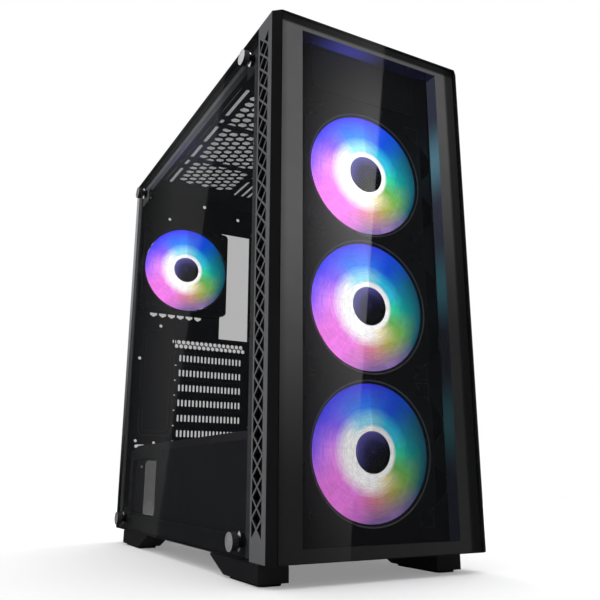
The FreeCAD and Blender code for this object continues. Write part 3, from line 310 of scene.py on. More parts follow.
def polished_clip_painted_highlight():
    """Polished clip plates; the higher a plate sits, the more emission brightens it, as a painted
    highlight.
    """
    s = Shade("polished_clip_painted_highlight")
    grain = s.noise(900.0)
    s.set(Base_Color=(0.55, 0.55, 0.56, 1.0), Metallic=0.4, Roughness=s.vary(grain, 0.2, 0.32),
          Emission_Color=(1.0, 1.0, 1.0, 1.0),
          # Emission growing with height: a painted highlight.
          Emission_Strength=s.span(s.axis("Z"), 100 * MM, 450 * MM, 0.0, 0.55),
          Normal=s.bump(grain, 0.01 * MM, 0.4))
    return s.mat


def screw_metal(name):
    """Black knurled sides and a bright turned end face."""
    s = Shade(name)
    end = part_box("thumbscrew_front_upper")[0][0]
    face = s.span(s.axis("X"), end + 0.25 * MM, end + 0.1 * MM, 0.0, 1.0)
    slow = s.noise(40.0, 4.0)
    turned = s.noise(1500.0, 2.0, 0.5)
    dark = s.mix(slow, (0.014, 0.014, 0.015, 1.0), (0.026, 0.026, 0.028, 1.0))
    light = s.mix(slow, (0.22, 0.22, 0.225, 1.0), (0.26, 0.26, 0.265, 1.0))
    s.set(Base_Color=s.mix(face, dark, light), Metallic=0.35, Specular_IOR_Level=0.4,
          Roughness=s.vary(slow, 0.30, 0.42), Normal=s.bump(turned, 0.01 * MM, 0.5))
    return s.mat


def lattice_plastic():
    """Satin plastic of the side vents, pale on the flat face; the cells' walls, picked out by their
    facing, are near black as painted shade.
    """
    s = Shade("lattice_plastic")
    facing = s.node("SeparateXYZ", {0: s.node("NewGeometry").outputs["Normal"]}).outputs["X"]
    flat = s.span(s.calc("ABSOLUTE", facing), 0.75, 0.95, 0.0, 1.0)
    grain = s.noise(1900.0)
    slow = s.noise(9.0, 4.0, 0.6)
    face = s.mix(slow, (0.135, 0.136, 0.14, 1.0), (0.165, 0.167, 0.172, 1.0))
    # The cells' walls are painted near black by their facing: painted shade.
    s.set(Base_Color=s.mix(flat, (0.012, 0.012, 0.013, 1.0), face), Specular_IOR_Level=0.35,
          Roughness=s.vary(slow, 0.36, 0.46), Normal=s.bump(grain, 0.015 * MM, 0.5))
    return s.mat


def rolled_rail():
    """Painted black rail; the pale band along its rolled lower edge, weaker at the front, is a
    painted highlight.
    """
    s = Shade("rolled_rail")
    z = s.axis("Z")
    # A pale band on the rolled lower edge, weaker at the front: a painted highlight.
    band = s.times(s.span(z, 459.8 * MM, 462.5 * MM, 0.55, 1.0),
                   s.span(z, 464.0 * MM, 470.0 * MM, 1.0, 0.0, smooth=True))
    band = s.times(band, s.span(s.axis("Y"), -150 * MM, -60 * MM, 0.25, 1.0))
    grain = s.noise(1500.0)
    s.set(Base_Color=s.mix(band, (0.03, 0.03, 0.032, 1.0), (0.80, 0.805, 0.82, 1.0)),
          Roughness=s.vary(grain, 0.30, 0.38), Normal=s.bump(grain, 0.02 * MM, 0.4))
    return s.mat


def pillar_steel():
    """Painted uprights: the flange behind the glass is painted pale as painted light, and the part
    inside the vents near black as painted shade.
    """
    s = Shade("pillar_steel")
    behind = s.span(s.axis("Y"), -187.2 * MM, -186.2 * MM, 0.0, 1.0)
    grain = s.noise(1500.0)
    slow = s.noise(11.0, 4.0)
    pale = s.mix(slow, (0.20, 0.20, 0.205, 1.0), (0.26, 0.26, 0.267, 1.0))
    # Pale flange and near-black inner part: painted light and painted shade on one steel.
    s.set(Base_Color=s.mix(behind, (0.010, 0.010, 0.011, 1.0), pale),
          Roughness=s.vary(slow, 0.34, 0.44), Normal=s.bump(grain, 0.03 * MM, 0.5))
    return s.mat


def finish_node(node, material):
    """Puts a material in every slot of a CAD node."""
    obj = parts[node]
    if not obj.material_slots:
        obj.data.materials.append(material)
    for slot in obj.material_slots:
        slot.material = material


# ---------------------------------------------------------------- mesh helpers
def new_piece(name, mesh_bm, material, body):
    mesh = bpy.data.meshes.new(name)
    mesh_bm.to_mesh(mesh)
    mesh_bm.free()
    for poly in mesh.polygons:
        poly.use_smooth = False
    obj = bpy.data.objects.new(name, mesh)
    scene.collection.objects.link(obj)
    mesh.materials.append(material)
    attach(obj, body)
    return obj


def lathe(profile, centre, axis="Y", segments=96):
    """A turned solid: (radius, place on the axis) points; an end with radius 0 closes it."""
    bm = bmesh.new()
    turns = [2 * math.pi * i / segments for i in range(segments)]
    rings = []
    for radius, level in profile:
        if radius == 0.0:
            spots = [(0.0, 0.0)]
        else:
            spots = [(radius * math.sin(turn), radius * math.cos(turn)) for turn in turns]
        if axis == "Y":
            places = [(centre[0] + a, level, centre[2] + b) for a, b in spots]
        else:
            places = [(level, centre[1] + a, centre[2] + b) for a, b in spots]
        rings.append([bm.verts.new(place) for place in places])
    if profile[0][0] > 0.0:
        rings.append(rings[0])
    for one, two in zip(rings, rings[1:]):
        for i in range(segments):
            j = (i + 1) % segments
            if len(one) == 1:
                bm.faces.new((one[0], two[i], two[j]))
            elif len(two) == 1:
                bm.faces.new((one[i], two[0], one[j]))
            else:
                bm.faces.new((one[i], two[i], two[j], one[j]))
    bmesh.ops.recalc_face_normals(bm, faces=bm.faces[:])
    return bm


def soft_shade(obj, degrees=35):
    """Smooth shading with the real edges kept sharp."""
    limit = math.radians(degrees)
    bm = bmesh.new()
    bm.from_mesh(obj.data)
    for edge in bm.edges:
        edge.smooth = len(edge.link_faces) == 2 and edge.calc_face_angle() < limit
    for face in bm.faces:
        face.smooth = True
    bm.to_mesh(obj.data)
    bm.free()


def add_block(bm, low, high):
    """A closed block between two corners."""
    for vert in bmesh.ops.create_cube(bm, size=1.0)["verts"]:
        vert.co = Vector([low[k] if vert.co[k] < 0 else high[k] for k in range(3)])


def inset(outline, by):
    """An outline a0, a1, b0, b1 drawn in on all four sides."""
    a0, a1, b0, b1 = outline
    return (a0 + by, a1 - by, b0 + by, b1 - by)


def add_frame(bm, axis, low, high, outer, inner):
    """A closed rectangular frame between two levels of an axis."""
    loops = []
    for level, (a0, a1, b0, b1) in ((low, outer), (high, outer), (high, inner), (low, inner)):
        corners = ((a0, b0), (a1, b0), (a1, b1), (a0, b1))
        places = [(level, a, b) if axis == "X" else (a, level, b) for a, b in corners]
        loops.append([bm.verts.new(place) for place in places])
    for one, two in zip(loops, loops[1:] + loops[:1]):
        for i in range(4):
            j = (i + 1) % 4
            bm.faces.new((one[i], one[j], two[j], two[i]))
    bmesh.ops.recalc_face_normals(bm, faces=bm.faces[:])


# ---------------------------------------------------------------- studio
def make_world():
    """White to the camera; to everything else a dim room that is brighter overhead."""
    world = bpy.data.worlds.new("studio")
    scene.world = world
    world.use_nodes = True
    tree = world.node_tree
    tree.nodes.clear()
    seen = tree.nodes.new("ShaderNodeBackground")
    seen.inputs["Color"].default_value = rgba(WHITE)
    room = tree.nodes.new("ShaderNodeBackground")
    room.inputs["Color"].default_value = (1.0, 1.0, 1.02, 1.0)
    where = tree.nodes.new("ShaderNodeTexCoord")
    split = tree.nodes.new("ShaderNodeSeparateXYZ")
    rise = tree.nodes.new("ShaderNodeMapRange")
    rise.interpolation_type = "SMOOTHSTEP"
    for key, value in (("From Min", 0.55), ("From Max", 0.95), ("To Min", 0.020), ("To Max", 0.40)):
        rise.inputs[key].default_value = value
    tree.links.new(where.outputs["Generated"], split.inputs[0])
    tree.links.new(split.outputs["Z"], rise.inputs["Value"])
    tree.links.new(rise.outputs["Result"], room.inputs["Strength"])
    path = tree.nodes.new("ShaderNodeLightPath")
    both = tree.nodes.new("ShaderNodeMixShader")
    out = tree.nodes.new("ShaderNodeOutputWorld")
    tree.links.new(path.outputs["Is Camera Ray"], both.inputs[0])
    tree.links.new(room.outputs[0], both.inputs[1])
    tree.links.new(seen.outputs[0], both.inputs[2])
    tree.links.new(both.outputs[0], out.inputs["Surface"])


def make_floor():
    """Pale round floor that fades out into the background."""
    bm = bmesh.new()
    bmesh.ops.create_circle(bm, cap_ends=True, radius=3.0, segments=96)
    mesh = bpy.data.meshes.new("floor")
    bm.to_mesh(mesh)
    bm.free()
    floor = bpy.data.objects.new("floor", mesh)
    scene.collection.objects.link(floor)
    s = Shade("floor")
    x, y = s.axis("X"), s.axis("Y")
    far = s.calc("SQRT", s.calc("ADD", s.times(x, x), s.times(y, y)))
    paint = s.mix(s.noise(3.0, 3.0), (0.86, 0.86, 0.86, 1.0), (0.89, 0.89, 0.89, 1.0))
    s.set(Base_Color=paint, Roughness=0.8, Specular_IOR_Level=0.1,
          Alpha=s.span(far, 0.7, 2.4, 0.75, 0.0, smooth=True))
    mesh.materials.append(s.mat)
    floor.visible_glossy = False


def emissive_card(name, corners, light, across):
    """A card seen only in reflections.

    light is (height, strength) points; across is x0, x1, factor0, factor1, a fade along X."""
    mesh = bpy.data.meshes.new(name)
    mesh.from_pydata(corners, [], [tuple(range(len(corners)))])
    obj = bpy.data.objects.new(name, mesh)
    scene.collection.objects.link(obj)
    obj.visible_camera = False
    obj.visible_diffuse = False
    obj.visible_shadow = False
    s = Shade(name)
    low, high = light[0][0], light[-1][0]
    top = max(strength for height, strength in light)
    glow = s.node("ValToRGB", {0: s.span(s.axis("Z"), low, high, 0.0, 1.0)})
    ramp = glow.color_ramp
    while len(ramp.elements) < len(light):
        ramp.elements.new(0.5)
    for i, (height, strength) in enumerate(light):
        ramp.elements[i].position = (height - low) / (high - low)
        ramp.elements[i].color = rgba([strength / top] * 3)
    emission = s.node("Emission", {"Color": glow.outputs["Color"],
                                   "Strength": s.times(s.span(s.axis("X"), *across), top)})
    s.tree.links.new(emission.outputs[0], s.out.inputs["Surface"])
    mesh.materials.append(s.mat)


def soft_box(name, place, aim, width, height, power):
    """A large soft lamp that isn't seen by the camera or in reflections."""
    data = bpy.data.lights.new(name, "AREA")
    data.shape = "RECTANGLE"
    data.size = width
    data.size_y = height
    data.energy = power
    obj = bpy.data.objects.new(name, data)
    scene.collection.objects.link(obj)
    obj.location = place
    obj.rotation_euler = (Vector(aim) - Vector(place)).to_track_quat("-Z", "Y").to_euler()
    obj.visible_camera = False
    obj.visible_glossy = False


def overhead_light():
    """Very soft light from above, a little from the rear and the right."""
    sun = bpy.data.lights.new("overhead", "SUN")
    sun.energy = 3.1
    sun.angle = math.radians(100)
    lamp = bpy.data.objects.new("overhead", sun)
    scene.collection.objects.link(lamp)
    lamp.rotation_euler = (math.radians(-12), math.radians(10), 0)
    lamp.visible_glossy = False


def screw_light(receivers):
    """A small lamp on the ends of the glass screws, strongest at the front and top."""
    data = bpy.data.lights.new("screw_lamp", "SPOT")
    data.energy = 85.0
    data.spot_size = math.radians(70)
    data.spot_blend = 1.0
    data.shadow_soft_size = 0.05
    lamp = bpy.data.objects.new("screw_lamp", data)
    scene.collection.objects.link(lamp)
    lamp.location = (-0.62, -0.55, 0.75)
    aim = Vector((-0.11, -0.25, 0.46)) - lamp.location
    lamp.rotation_euler = aim.to_track_quat("-Z", "Y").to_euler()
    lamp.visible_camera = False
    group = bpy.data.collections.new("screw_lamp_receivers")
    for obj in receivers:
        group.objects.link(obj)
    lamp.light_linking.receiver_collection = group


def make_studio():
    make_world()
    make_floor()
    overhead_light()
    soft_box("left_box", (-1.7, 0.1, 0.9), (-0.1, 0.0, 0.25), 1.6, 1.8, 12.0)
    soft_box("front_box", (0.5, -2.0, 1.2), (0.0, -0.2, 0.25), 1.4, 1.4, 6.0)
    soft_box("right_box", (1.8, 0.3, 0.9), (0.1, 0.0, 0.25), 1.4, 1.6, 16.0)
    soft_box("rear_box", (0.2, 2.0, 1.0), (0.0, 0.2, 0.25), 1.4, 1.6, 16.0)
    front = -1.5
    emissive_card("front_card",
                  [(0.30, front, -0.30), (0.7595, front, -0.30),
                   (1.004, front, 2.0), (0.30, front, 2.0)],
                  [(-0.30, 0.1), (0.4, 0.8), (0.9, 1.6), (1.5, 0.4), (2.0, 0.3)],
                  (0.62, 0.88, 0.10, 0.95))
    rear = 2.0
    emissive_card("side_card",
                  [(-0.687, rear, -0.30), (-0.30, rear, -0.30),
                   (-0.30, rear, 2.3), (-0.968, rear, 2.3)],
                  [(-0.30, 0.12), (0.8, 0.16), (2.3, 0.16)],
                  (-0.72, -0.56, 1.0, 0.10))


make_camera()
make_studio()

# ---------------------------------------------------------------- materials
steel = surface("black_steel", (0.018, 0.0185, 0.020), 0.42, grain=1500, depth=0.03, wear_and_highlight=0.15)
# A pale grey copy of the black steel for the rear rims: a painted highlight.
pale_steel_painted_highlight = surface("grey_steel_painted_highlight", (0.17, 0.172, 0.176), 0.36, grain=1500, depth=0.03, wear_and_highlight=0.12)
plastic = surface("black_plastic", (0.018, 0.018, 0.020), 0.38, grain=1900, depth=0.015, wear_and_highlight=0.06)
grille = lattice_plastic()
satin = surface("satin_trim", (0.010, 0.010, 0.011), 0.22, grain=1900, depth=0.006, spread=0.04)
# A paler copy of the black steel, so the pressed beads read as light lines: a painted highlight.
pressed = surface("pressed_steel", (0.045, 0.046, 0.048), 0.30, grain=1500, depth=0.02)
# Pale grey gloss for the black mouth lips: a painted highlight.
lip_painted_highlight = surface("lip_painted_highlight", (0.20, 0.205, 0.21), 0.16, grain=1900, depth=0.004, spread=0.04)
shroud_steel = surface("shroud_steel", (0.052, 0.0525, 0.054), 0.42, grain=1500, depth=0.03,
                       wear_and_highlight=0.15)
# A darker copy of the black steel for the walls deep inside the case: painted shade.
wall_steel = surface("wall_steel", (0.009, 0.0092, 0.010), 0.40, grain=1500, depth=0.03, wear_and_highlight=0.25)
fan_black = surface("fan_plastic", (0.012, 0.012, 0.013), 0.30, grain=1600, depth=0.012)
rubber = surface("rubber", (0.014, 0.014, 0.014), 0.75, grain=700, depth=0.03, specular=0.3)
zinc = surface("zinc", (0.52, 0.53, 0.55), 0.28, metallic=1.0, grain=900, depth=0.01, mottle=0.12)
dark_metal = surface("anodised", (0.16, 0.16, 0.17), 0.30, metallic=1.0, grain=900, depth=0.01,
                     mottle=0.12, lines=(1.0, 0.05, 0.05))
brass = surface("brass", (0.62, 0.44, 0.18), 0.28, metallic=1.0, grain=900, depth=0.01,
                mottle=0.12)
nickel = surface("nickel", (0.62, 0.61, 0.60), 0.22, metallic=1.0, grain=900, depth=0.005,
                 mottle=0.08)
board = surface("circuit_board", (0.012, 0.05, 0.03), 0.35, grain=600, depth=0.03)
winding = surface("winding", (0.30, 0.13, 0.05), 0.35, metallic=0.6, grain=2600, depth=0.05,
                  lines=(0.2, 3.0, 0.2))
mesh_cloth = surface("filter_mesh", (0.03, 0.03, 0.032), 0.7, grain=1800, depth=0.05)
side_pane = tinted_glass("side_glass", (0.010, 0.011, 0.013), 0.335, 2.0)
screw_finish = screw_metal("screw_metal")
insert_metal = surface("insert_metal", (0.24, 0.24, 0.245), 0.30, metallic=0.35, grain=900,
                       depth=0.01, mottle=0.1)
clip_metal = polished_clip_painted_highlight()
front_pane = tinted_glass("front_glass", (0.010, 0.011, 0.013), 0.33, 2.4)

STEEL = ["chassis_floor", "top_panel", "slot_covers", "slot_screw_cover", "drive_cage",
         "ssd_brackets", "right_panel"]
WALL_STEEL = ["rear_panel", "front_plate", "motherboard_tray", "fan_screws"]
PLASTIC = ["front_module_cover", "feet", "drive_tray_lower", "drive_tray_upper", "fan_hub",
           "io_housing", "top_bezel", "top_filter_frame", "psu_filter_frame",
           "psu_filter_guides", "front_clips", "audio_sockets"]
FINISH = {
    "lower_rails": shroud_steel, "psu_shroud": shroud_steel, "top_rails": rolled_rail(),
    "front_pillars": pillar_steel(), "rear_rims": pale_steel_painted_highlight,
    "glass_posts": dark_metal, "right_screw_lower": dark_metal, "right_screw_upper": dark_metal,
    "board_standoffs": brass, "slot_screws": zinc, "usb_sockets": nickel,
    "foot_pads": rubber, "psu_pads": rubber, "glass_bushes": rubber,
    "fan_stators": winding, "io_board": board,
    "power_button": satin, "reset_button": satin, "front_frame": satin,
    "top_filter_mesh": mesh_cloth, "psu_filter_mesh": mesh_cloth,
    "left_vent": grille, "right_vent": grille,
    "side_glass": side_pane, "front_glass": front_pane,
}
FINISH.update({node: steel for node in STEEL})
FINISH.update({node: wall_steel for node in WALL_STEEL})
FINISH.update({node: plastic for node in PLASTIC})
FINISH.update({"thumbscrew_" + place: screw_finish for place in SCREW_PLACES})
FAN_POWER = {"front_fan_lower": 1.35, "front_fan_middle": 2.1, "front_fan_upper": 2.7,
             "rear_fan": 2.3}
BLADE_SHARE = 0.15
FAN_CENTRE = {}
for fan, power in FAN_POWER.items():
    low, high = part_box(fan + "_frame")
    x, z = (low[0] + high[0]) / 2, (low[2] + high[2]) / 2
    FAN_CENTRE[fan] = (x, low[1], z)
    FINISH[fan + "_frame"] = fan_black
    FINISH[fan + "_rotor"] = lit_blades(fan + "_blades", x, z, BLADE_SHARE * power)
for node in parts:
    finish_node(node, FINISH[node])


# ---------------------------------------------------------------- fans
def fan_ring(fan):
    """The lit, slightly dished ring in front of the blades."""
    x, front, z = FAN_CENTRE[fan]
    rim, hub = 57.4 * MM, 17.6 * MM
    skin = 0.7 * MM
    recess = 0.3 * MM
    rise = 0.6 * MM if fan == "rear_fan" else 2.2 * MM
    steps = 8
    outside = []
    for i in range(steps + 1):
        t = i / steps
        outside.append((hub + (rim - hub) * t, front + recess - rise * (1 - t) ** 1.5))
    inside = [(r, y + skin) for r, y in reversed(outside)]
    light = frosted_light(fan + "_glow", x, z, FAN_POWER[fan])
    ring = lathe(outside + inside, (x, 0, z), segments=128)
    soft_shade(new_piece(fan + "_lit_ring", ring, light, fan + "_rotor"))


def fan_hub_cap(fan):
    """Black cap over the hub with a shallow ring and a raised middle."""
    x, front, z = FAN_CENTRE[fan]
    face = front - (0.9 * MM if fan == "rear_fan" else 2.7 * MM)
    back = front + 0.9 * MM
    steps = [(0.0, 0.25), (4.0, 0.25), (4.4, 0.6), (8.2, 0.6), (8.6, 0.1), (12.0, 0.0),
             (16.2, 0.1), (17.0, 0.7)]
    profile = [(radius * MM, face + depth * MM) for radius, depth in steps]
    profile += [(17.1 * MM, back), (0.0, back)]
    gloss = hub_painted_sheen(fan + "_hub_painted_sheen", x, z, FAN_POWER[fan])
    cap = lathe(profile, (x, 0, z))
    soft_shade(new_piece(fan + "_hub_cap", cap, gloss, fan + "_rotor"), 50)


def fan_mouth_lip(fan):
    """Rolled edge round the opening that the fan blows through; its pale grey is a painted
    highlight.
    """
    x, front, z = FAN_CENTRE[fan]
    if fan == "rear_fan":
        middle, level, radius = 59.55 * MM, front, 0.30 * MM
    else:
        middle, level, radius = 60.0 * MM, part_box("front_plate")[0][1], 0.75 * MM
    steps = 10
    angles = [math.pi * i / steps for i in range(steps + 1)]
    profile = [(middle + radius * math.cos(a), level - radius * math.sin(a)) for a in angles]
    sunk = level + 0.05 * MM
    profile += [(middle - radius, sunk), (middle + radius, sunk)]
    lip = lathe(profile, (x, 0, z), segments=128)
    soft_shade(new_piece(fan + "_mouth_lip", lip, lip_painted_highlight, "chassis"), 60)


def fan_corner_tubes(fan):
    """Tubes between the two flanges of a fan, where its screws pass."""
    x, front, z = FAN_CENTRE[fan]
    offset = 52.5 * MM
    bore, wall = 2.25 * MM, 4.2 * MM
    start, stop = front + 4.05 * MM, front + 20.95 * MM
    joined = bmesh.new()
    for sx in (-1, 1):
        for sz in (-1, 1):
            tube = lathe([(bore, start), (wall, start), (wall, stop), (bore, stop)],
                         (x + sx * offset, 0, z + sz * offset), segments=32)
            mesh = bpy.data.meshes.new("tube")
            tube.to_mesh(mesh)
            tube.free()
            joined.from_mesh(mesh)
            bpy.data.meshes.remove(mesh)
    soft_shade(new_piece(fan + "_corner_tubes", joined, fan_black, "chassis"), 50)


for fan in FAN_CENTRE:
    fan_ring(fan)
    fan_hub_cap(fan)
    fan_mouth_lip(fan)
    fan_corner_tubes(fan)


# ---------------------------------------------------------------- dust filters
CLOTH_PITCH = 2.0 * MM
CLOTH_WIRE = 0.26 * MM


def woven_filter(node, body):
    """Fine woven cloth in place of the plain filter sheet: one layer of wires each way."""
    low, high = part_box(node)
    middle = (low[2] + high[2]) / 2
    half, deep = CLOTH_WIRE / 2, CLOTH_WIRE * 0.7
    bm = bmesh.new()
    for i in range(int((high[0] - low[0]) / CLOTH_PITCH)):
        x = low[0] + (i + 0.5) * CLOTH_PITCH
        add_block(bm, (x - half, low[1], middle - deep), (x + half, high[1], middle))
    for i in range(int((high[1] - low[1]) / CLOTH_PITCH)):
        y = low[1] + (i + 0.5) * CLOTH_PITCH
        add_block(bm, (low[0], y - half, middle), (high[0], y + half, middle + deep))
    piece = new_piece(node + "_weave", bm, mesh_cloth, body)
    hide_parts(node)


woven_filter("top_filter_mesh", "top_filter")
woven_filter("psu_filter_mesh", "psu_filter")


# ---------------------------------------------------------------- front glass
PRINT_WINDOW = (-75.5 * MM, 75.5 * MM, 26.5 * MM, 468.0 * MM)
LINER_OUTSIDE = (-75.92 * MM, 75.92 * MM, 26.1 * MM, 468.4 * MM)
LINER_REAR = -203.4 * MM
GLASS_GAP = 0.08 * MM


def print_painted_reflection():
    """Black print whose grey is emission: a painted reflection.

    It is palest at the upper left; painted shade darkens it at the top and the right-hand edge, a
    little at the left edge, and a thin painted highlight runs up the left edge."""
    low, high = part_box("front_glass")
    s = Shade("glass_print")
    x, z = s.axis("X"), s.axis("Z")
    left = s.span(z, 60 * MM, 310 * MM, 0.012, 0.135, smooth=True)
    right = s.span(z, 190 * MM, 450 * MM, 0.022, 0.125, smooth=True)
    side = s.span(x, -60 * MM, 75 * MM, 0.0, 1.0)
    level = s.calc("ADD", s.times(left, s.calc("SUBTRACT", 1.0, side)), s.times(right, side))
    # Darker bands along the top and the right edge, and a softer one at the left: painted shade.
    top_painted_shade = s.span(z, high[2] - 8.6 * MM, high[2] - 5.6 * MM, 1.0, 0.08, smooth=True)
    right_painted_shade = s.span(x, high[0] - 12.5 * MM, high[0] - 8.0 * MM, 1.0, 0.16, smooth=True)
    left_painted_shade = s.span(x, low[0] + 1.5 * MM, low[0] + 8.0 * MM, 0.62, 1.0)
    edge_painted_shade = s.times(s.times(top_painted_shade, right_painted_shade), left_painted_shade)
    # A thin line of emission at the left edge: a painted highlight.
    left_painted_highlight = s.span(x, low[0] + 1.3 * MM, low[0] + 1.6 * MM, 0.06, 0.0)
    speck = s.vary(s.noise(60.0, 4.0), 0.95, 1.05)
    level = s.times(s.calc("ADD", s.times(level, edge_painted_shade), left_painted_highlight), speck)
    s.set(Base_Color=(0.003, 0.003, 0.0035, 1.0), Roughness=0.5,
          Emission_Color=(0.98, 0.98, 1.0, 1.0), Emission_Strength=level)
    return s.mat


def liner_painted_fan_light():
    """Dark gloss lining; its emission in the colours of the front fans is their light painted on
    it.
    """
    s = Shade("liner_gloss")
    x, z = s.axis("X"), s.axis("Z")
    on_right = s.span(x, 75.3 * MM, 75.5 * MM, 0.0, 1.0)
    on_top = s.span(z, 467.8 * MM, 468.0 * MM, 0.0, 1.0)
    # Emission rising with height, patches beside each fan and a blue top: painted light from the
    # fans.
    rise = s.span(z, 180 * MM, 360 * MM, 0.012, 0.075, smooth=True)
    glow = s.mix(1.0, (0.72, 0.80, 1.3, 1.0), s.colour(rise, rise, rise), "MULTIPLY")
    painted_fan_glows = {"front_fan_upper": (0.34, (0.25, 0.80, 1.0)),
             "front_fan_middle": (0.12, (0.08, 0.85, 1.0)),
             "front_fan_lower": (0.07, (0.15, 0.90, 1.0))}
    for fan, (level, colour) in painted_fan_glows.items():
        away = s.calc("ABSOLUTE", s.calc("SUBTRACT", z, FAN_CENTRE[fan][2] + 28 * MM))
        painted_glow = s.times(s.span(away, 0.0, 48 * MM, 1.0, 0.0, smooth=True), level)
        glow = s.mix(1.0, glow, s.colour(*[s.times(painted_glow, c) for c in colour]), "ADD")
    away = s.calc("ABSOLUTE", s.calc("SUBTRACT", x, -22 * MM))
    blue = s.span(away, 0.0, 45 * MM, 0.45, 0.02, smooth=True)
    painted_roof_light = s.colour(s.times(blue, 0.11), s.times(blue, 0.11), blue)
    s.set(Base_Color=(0.02, 0.02, 0.022, 1.0), Roughness=s.vary(s.noise(1900.0), 0.14, 0.2),
          Emission_Color=s.mix(on_top, glow, painted_roof_light),
          Emission_Strength=s.calc("MAXIMUM", on_right, on_top))
    return s.mat


def pane_outline(node, across):
    """Outline of a pane, a little inside its edge; across is the index of its wide axis."""
    low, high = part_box(node)
    return inset((low[across], high[across], low[2], high[2]), GLASS_GAP)


def glass_border(node, body, axis, window, print_paint, edge_paint):
    """Print on the back of a pane, round a window, and the pane's ground edge."""
    low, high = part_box(node)
    through, across = (0, 1) if axis == "X" else (1, 0)
    outer = pane_outline(node, across)
    back = high[through]
    bm = bmesh.new()
    add_frame(bm, axis, back - 0.12 * MM, back - 0.05 * MM, outer, window)
    new_piece(node + "_border", bm, print_paint, body)
    bm = bmesh.new()
    add_frame(bm, axis, low[through] + GLASS_GAP, back - 0.16 * MM, outer,
              inset(outer, 0.15 * MM))
    new_piece(node + "_edge", bm, edge_paint, body)


def tunnel_liner():
    """Glossy lining of the short tunnel behind the front window."""
    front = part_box("front_glass")[1][1] + 0.3 * MM
    bm = bmesh.new()
    add_frame(bm, "Y", front, LINER_REAR, LINER_OUTSIDE, inset(LINER_OUTSIDE, 0.3 * MM))
    new_piece("window_liner", bm, liner_painted_fan_light(), "front_panel")


glass_border("front_glass", "front_panel", "Y", PRINT_WINDOW, print_painted_reflection(), satin)
tunnel_liner()


# ---------------------------------------------------------------- side glass
def side_edge_painted_light():
    """Ground edge of the side glass: dark, with emission up its rear edge as painted light."""
    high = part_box("side_glass")[1]
    s = Shade("side_glass_edge")
    z = s.axis("Z")
    rear = s.span(s.axis("Y"), high[1] - 1.0 * MM, high[1] - 0.5 * MM, 0.0, 1.0)
    below_top = s.span(z, high[2] - 6 * MM, high[2] - 3 * MM, 1.0, 0.0)
    # Emission up the rear edge, growing with height: painted light.
    level = s.span(z, 60 * MM, 420 * MM, 0.0, 0.5, smooth=True)
    s.set(Base_Color=(0.02, 0.02, 0.021, 1.0), Roughness=s.vary(s.noise(300.0), 0.4, 0.55),
          Emission_Color=(0.95, 0.98, 1.0, 1.0),
          Emission_Strength=s.times(s.times(rear, below_top), level))
    return s.mat


def side_window():
    """The clear part of the side glass, inside its border."""
    front, rear, bottom, top = pane_outline("side_glass", 1)
    return (front + 1.2 * MM, rear - 3.0 * MM, bottom + 1.2 * MM, top - 12.5 * MM)


def screw_insert(place):
    """Turned insert in a screw's head."""
    node = "thumbscrew_" + place
    low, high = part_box(node)
    face = low[0]
    back = face + 0.5 * MM
    profile = [(0.0, face + 0.06 * MM), (4.4 * MM, face + 0.06 * MM), (5.0 * MM, face + 0.18 * MM),
               (5.1 * MM, back), (0.0, back)]
    disc = lathe(profile, (0, (low[1] + high[1]) / 2, (low[2] + high[2]) / 2), "X", 64)
    insert = new_piece(node + "_insert", disc, insert_metal, node)
    soft_shade(insert, 40)
    return insert


def glass_clip(place):
    """Pointed clip plate on the outside of the side glass, behind a screw's head."""
    low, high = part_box("thumbscrew_" + place)
    y, z = (low[1] + high[1]) / 2, (low[2] + high[2]) / 2
    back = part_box("side_glass")[0][0] - 0.03 * MM
    front = back - 0.12 * MM
    tall, wide = 7.9 * MM, 3.6 * MM
    in_wide, in_tall = wide * 0.7, tall * 0.72
    corners = [(0, tall), (in_wide, in_tall), (wide, 0), (in_wide, -in_tall), (0, -tall),
               (-in_wide, -in_tall), (-wide, 0), (-in_wide, in_tall)]
    bm = bmesh.new()
    near = [bm.verts.new((front, y + a, z + b)) for a, b in corners]
    far = [bm.verts.new((back, y + a, z + b)) for a, b in corners]
    bm.faces.new(near)
    bm.faces.new(far)
    for i in range(len(corners)):
        j = (i + 1) % len(corners)
        bm.faces.new((near[i], near[j], far[j], far[i]))
    bmesh.ops.recalc_face_normals(bm, faces=bm.faces[:])
    return new_piece("glass_clip_" + place, bm, clip_metal, "side_glass")


def screw_pieces():
    """Inserts and clip plates of the four screws; returns all that the screw lamp lights."""
    lit = []
    for place in SCREW_PLACES:
        lit += [screw_insert(place), glass_clip(place), parts["thumbscrew_" + place]]
    return lit


def shroud_window_film():
    """Smoked film behind the window of the power supply cover."""
    film = tinted_glass("smoked_film", (0.02, 0.02, 0.022), 0.6, 1.45)
    bm = bmesh.new()
    add_block(bm, (-93.9 * MM, 93.5 * MM, 34.5 * MM), (-93.6 * MM, 196.0 * MM, 101.0 * MM))
    new_piece("shroud_window_film", bm, film, "chassis")


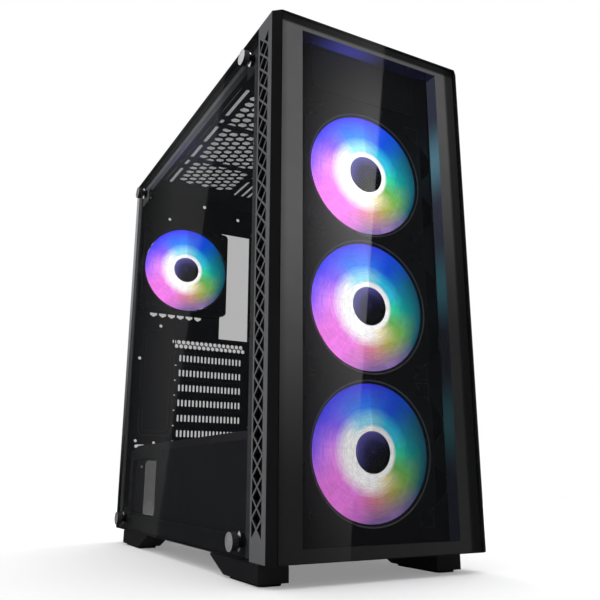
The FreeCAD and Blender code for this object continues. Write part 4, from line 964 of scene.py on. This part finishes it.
glass_border("side_glass", "side_glass", "X", side_window(), satin, side_edge_painted_light())
shroud_window_film()
screw_light(screw_pieces())


# ---------------------------------------------------------------- pressings
def pressed_lines(name, loops, level, radius, resolution):
    """Closed rounded beads along loops of (x, z) points, at one depth in the case."""
    curve = bpy.data.curves.new(name, "CURVE")
    curve.dimensions = "3D"
    curve.bevel_depth = radius
    curve.bevel_resolution = resolution
    for points in loops:
        spline = curve.splines.new("POLY")
        spline.points.add(len(points) - 1)
        for point, (x, z) in zip(spline.points, points):
            point.co = (x, level, z, 1.0)
        spline.use_cyclic_u = True
    obj = bpy.data.objects.new(name, curve)
    scene.collection.objects.link(obj)
    curve.materials.append(pressed)
    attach(obj, "chassis")


def round_rectangle(x0, x1, z0, z1, r):
    """Points of a rectangle in mm with rounded corners, in metres."""
    points = []
    for cx, cz, start in ((x1 - r, z1 - r, 0), (x0 + r, z1 - r, 90),
                          (x0 + r, z0 + r, 180), (x1 - r, z0 + r, 270)):
        for degrees in range(start, start + 91, 15):
            angle = math.radians(degrees)
            points.append(((cx + r * math.cos(angle)) * MM, (cz + r * math.sin(angle)) * MM))
    return points


def rear_wall_beads():
    """Beads pressed into the rear wall, one inside the other."""
    loops = [round_rectangle(-83.7, -49.3, 136.8, 263.2, 5.2),
             round_rectangle(-88.5, -44.5, 131.0, 272.0, 8.0)]
    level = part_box("rear_panel")[0][1] + 0.7 * MM
    pressed_lines("rear_wall_beads", loops, level, 0.9 * MM, 3)


def corner_ribs():
    """Small triangular ribs pressed into the front plate at the corners of the fans."""
    near, far, back = 45.5, 61.0, 1.4
    corners = [(near, far), (far, far), (far, near), (far - back, near + back),
               (near + back, far - back)]
    loops = []
    for fan in FRONT_FANS:
        cx, cz = FAN_CENTRE[fan][0], FAN_CENTRE[fan][2]
        loops += [[(cx + sx * a * MM, cz + sz * b * MM) for a, b in corners]
                  for sx in (-1, 1) for sz in (-1, 1)]
    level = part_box("front_plate")[0][1] - 0.25 * MM
    pressed_lines("front_plate_ribs", loops, level, 0.55 * MM, 2)


rear_wall_beads()
corner_ribs()
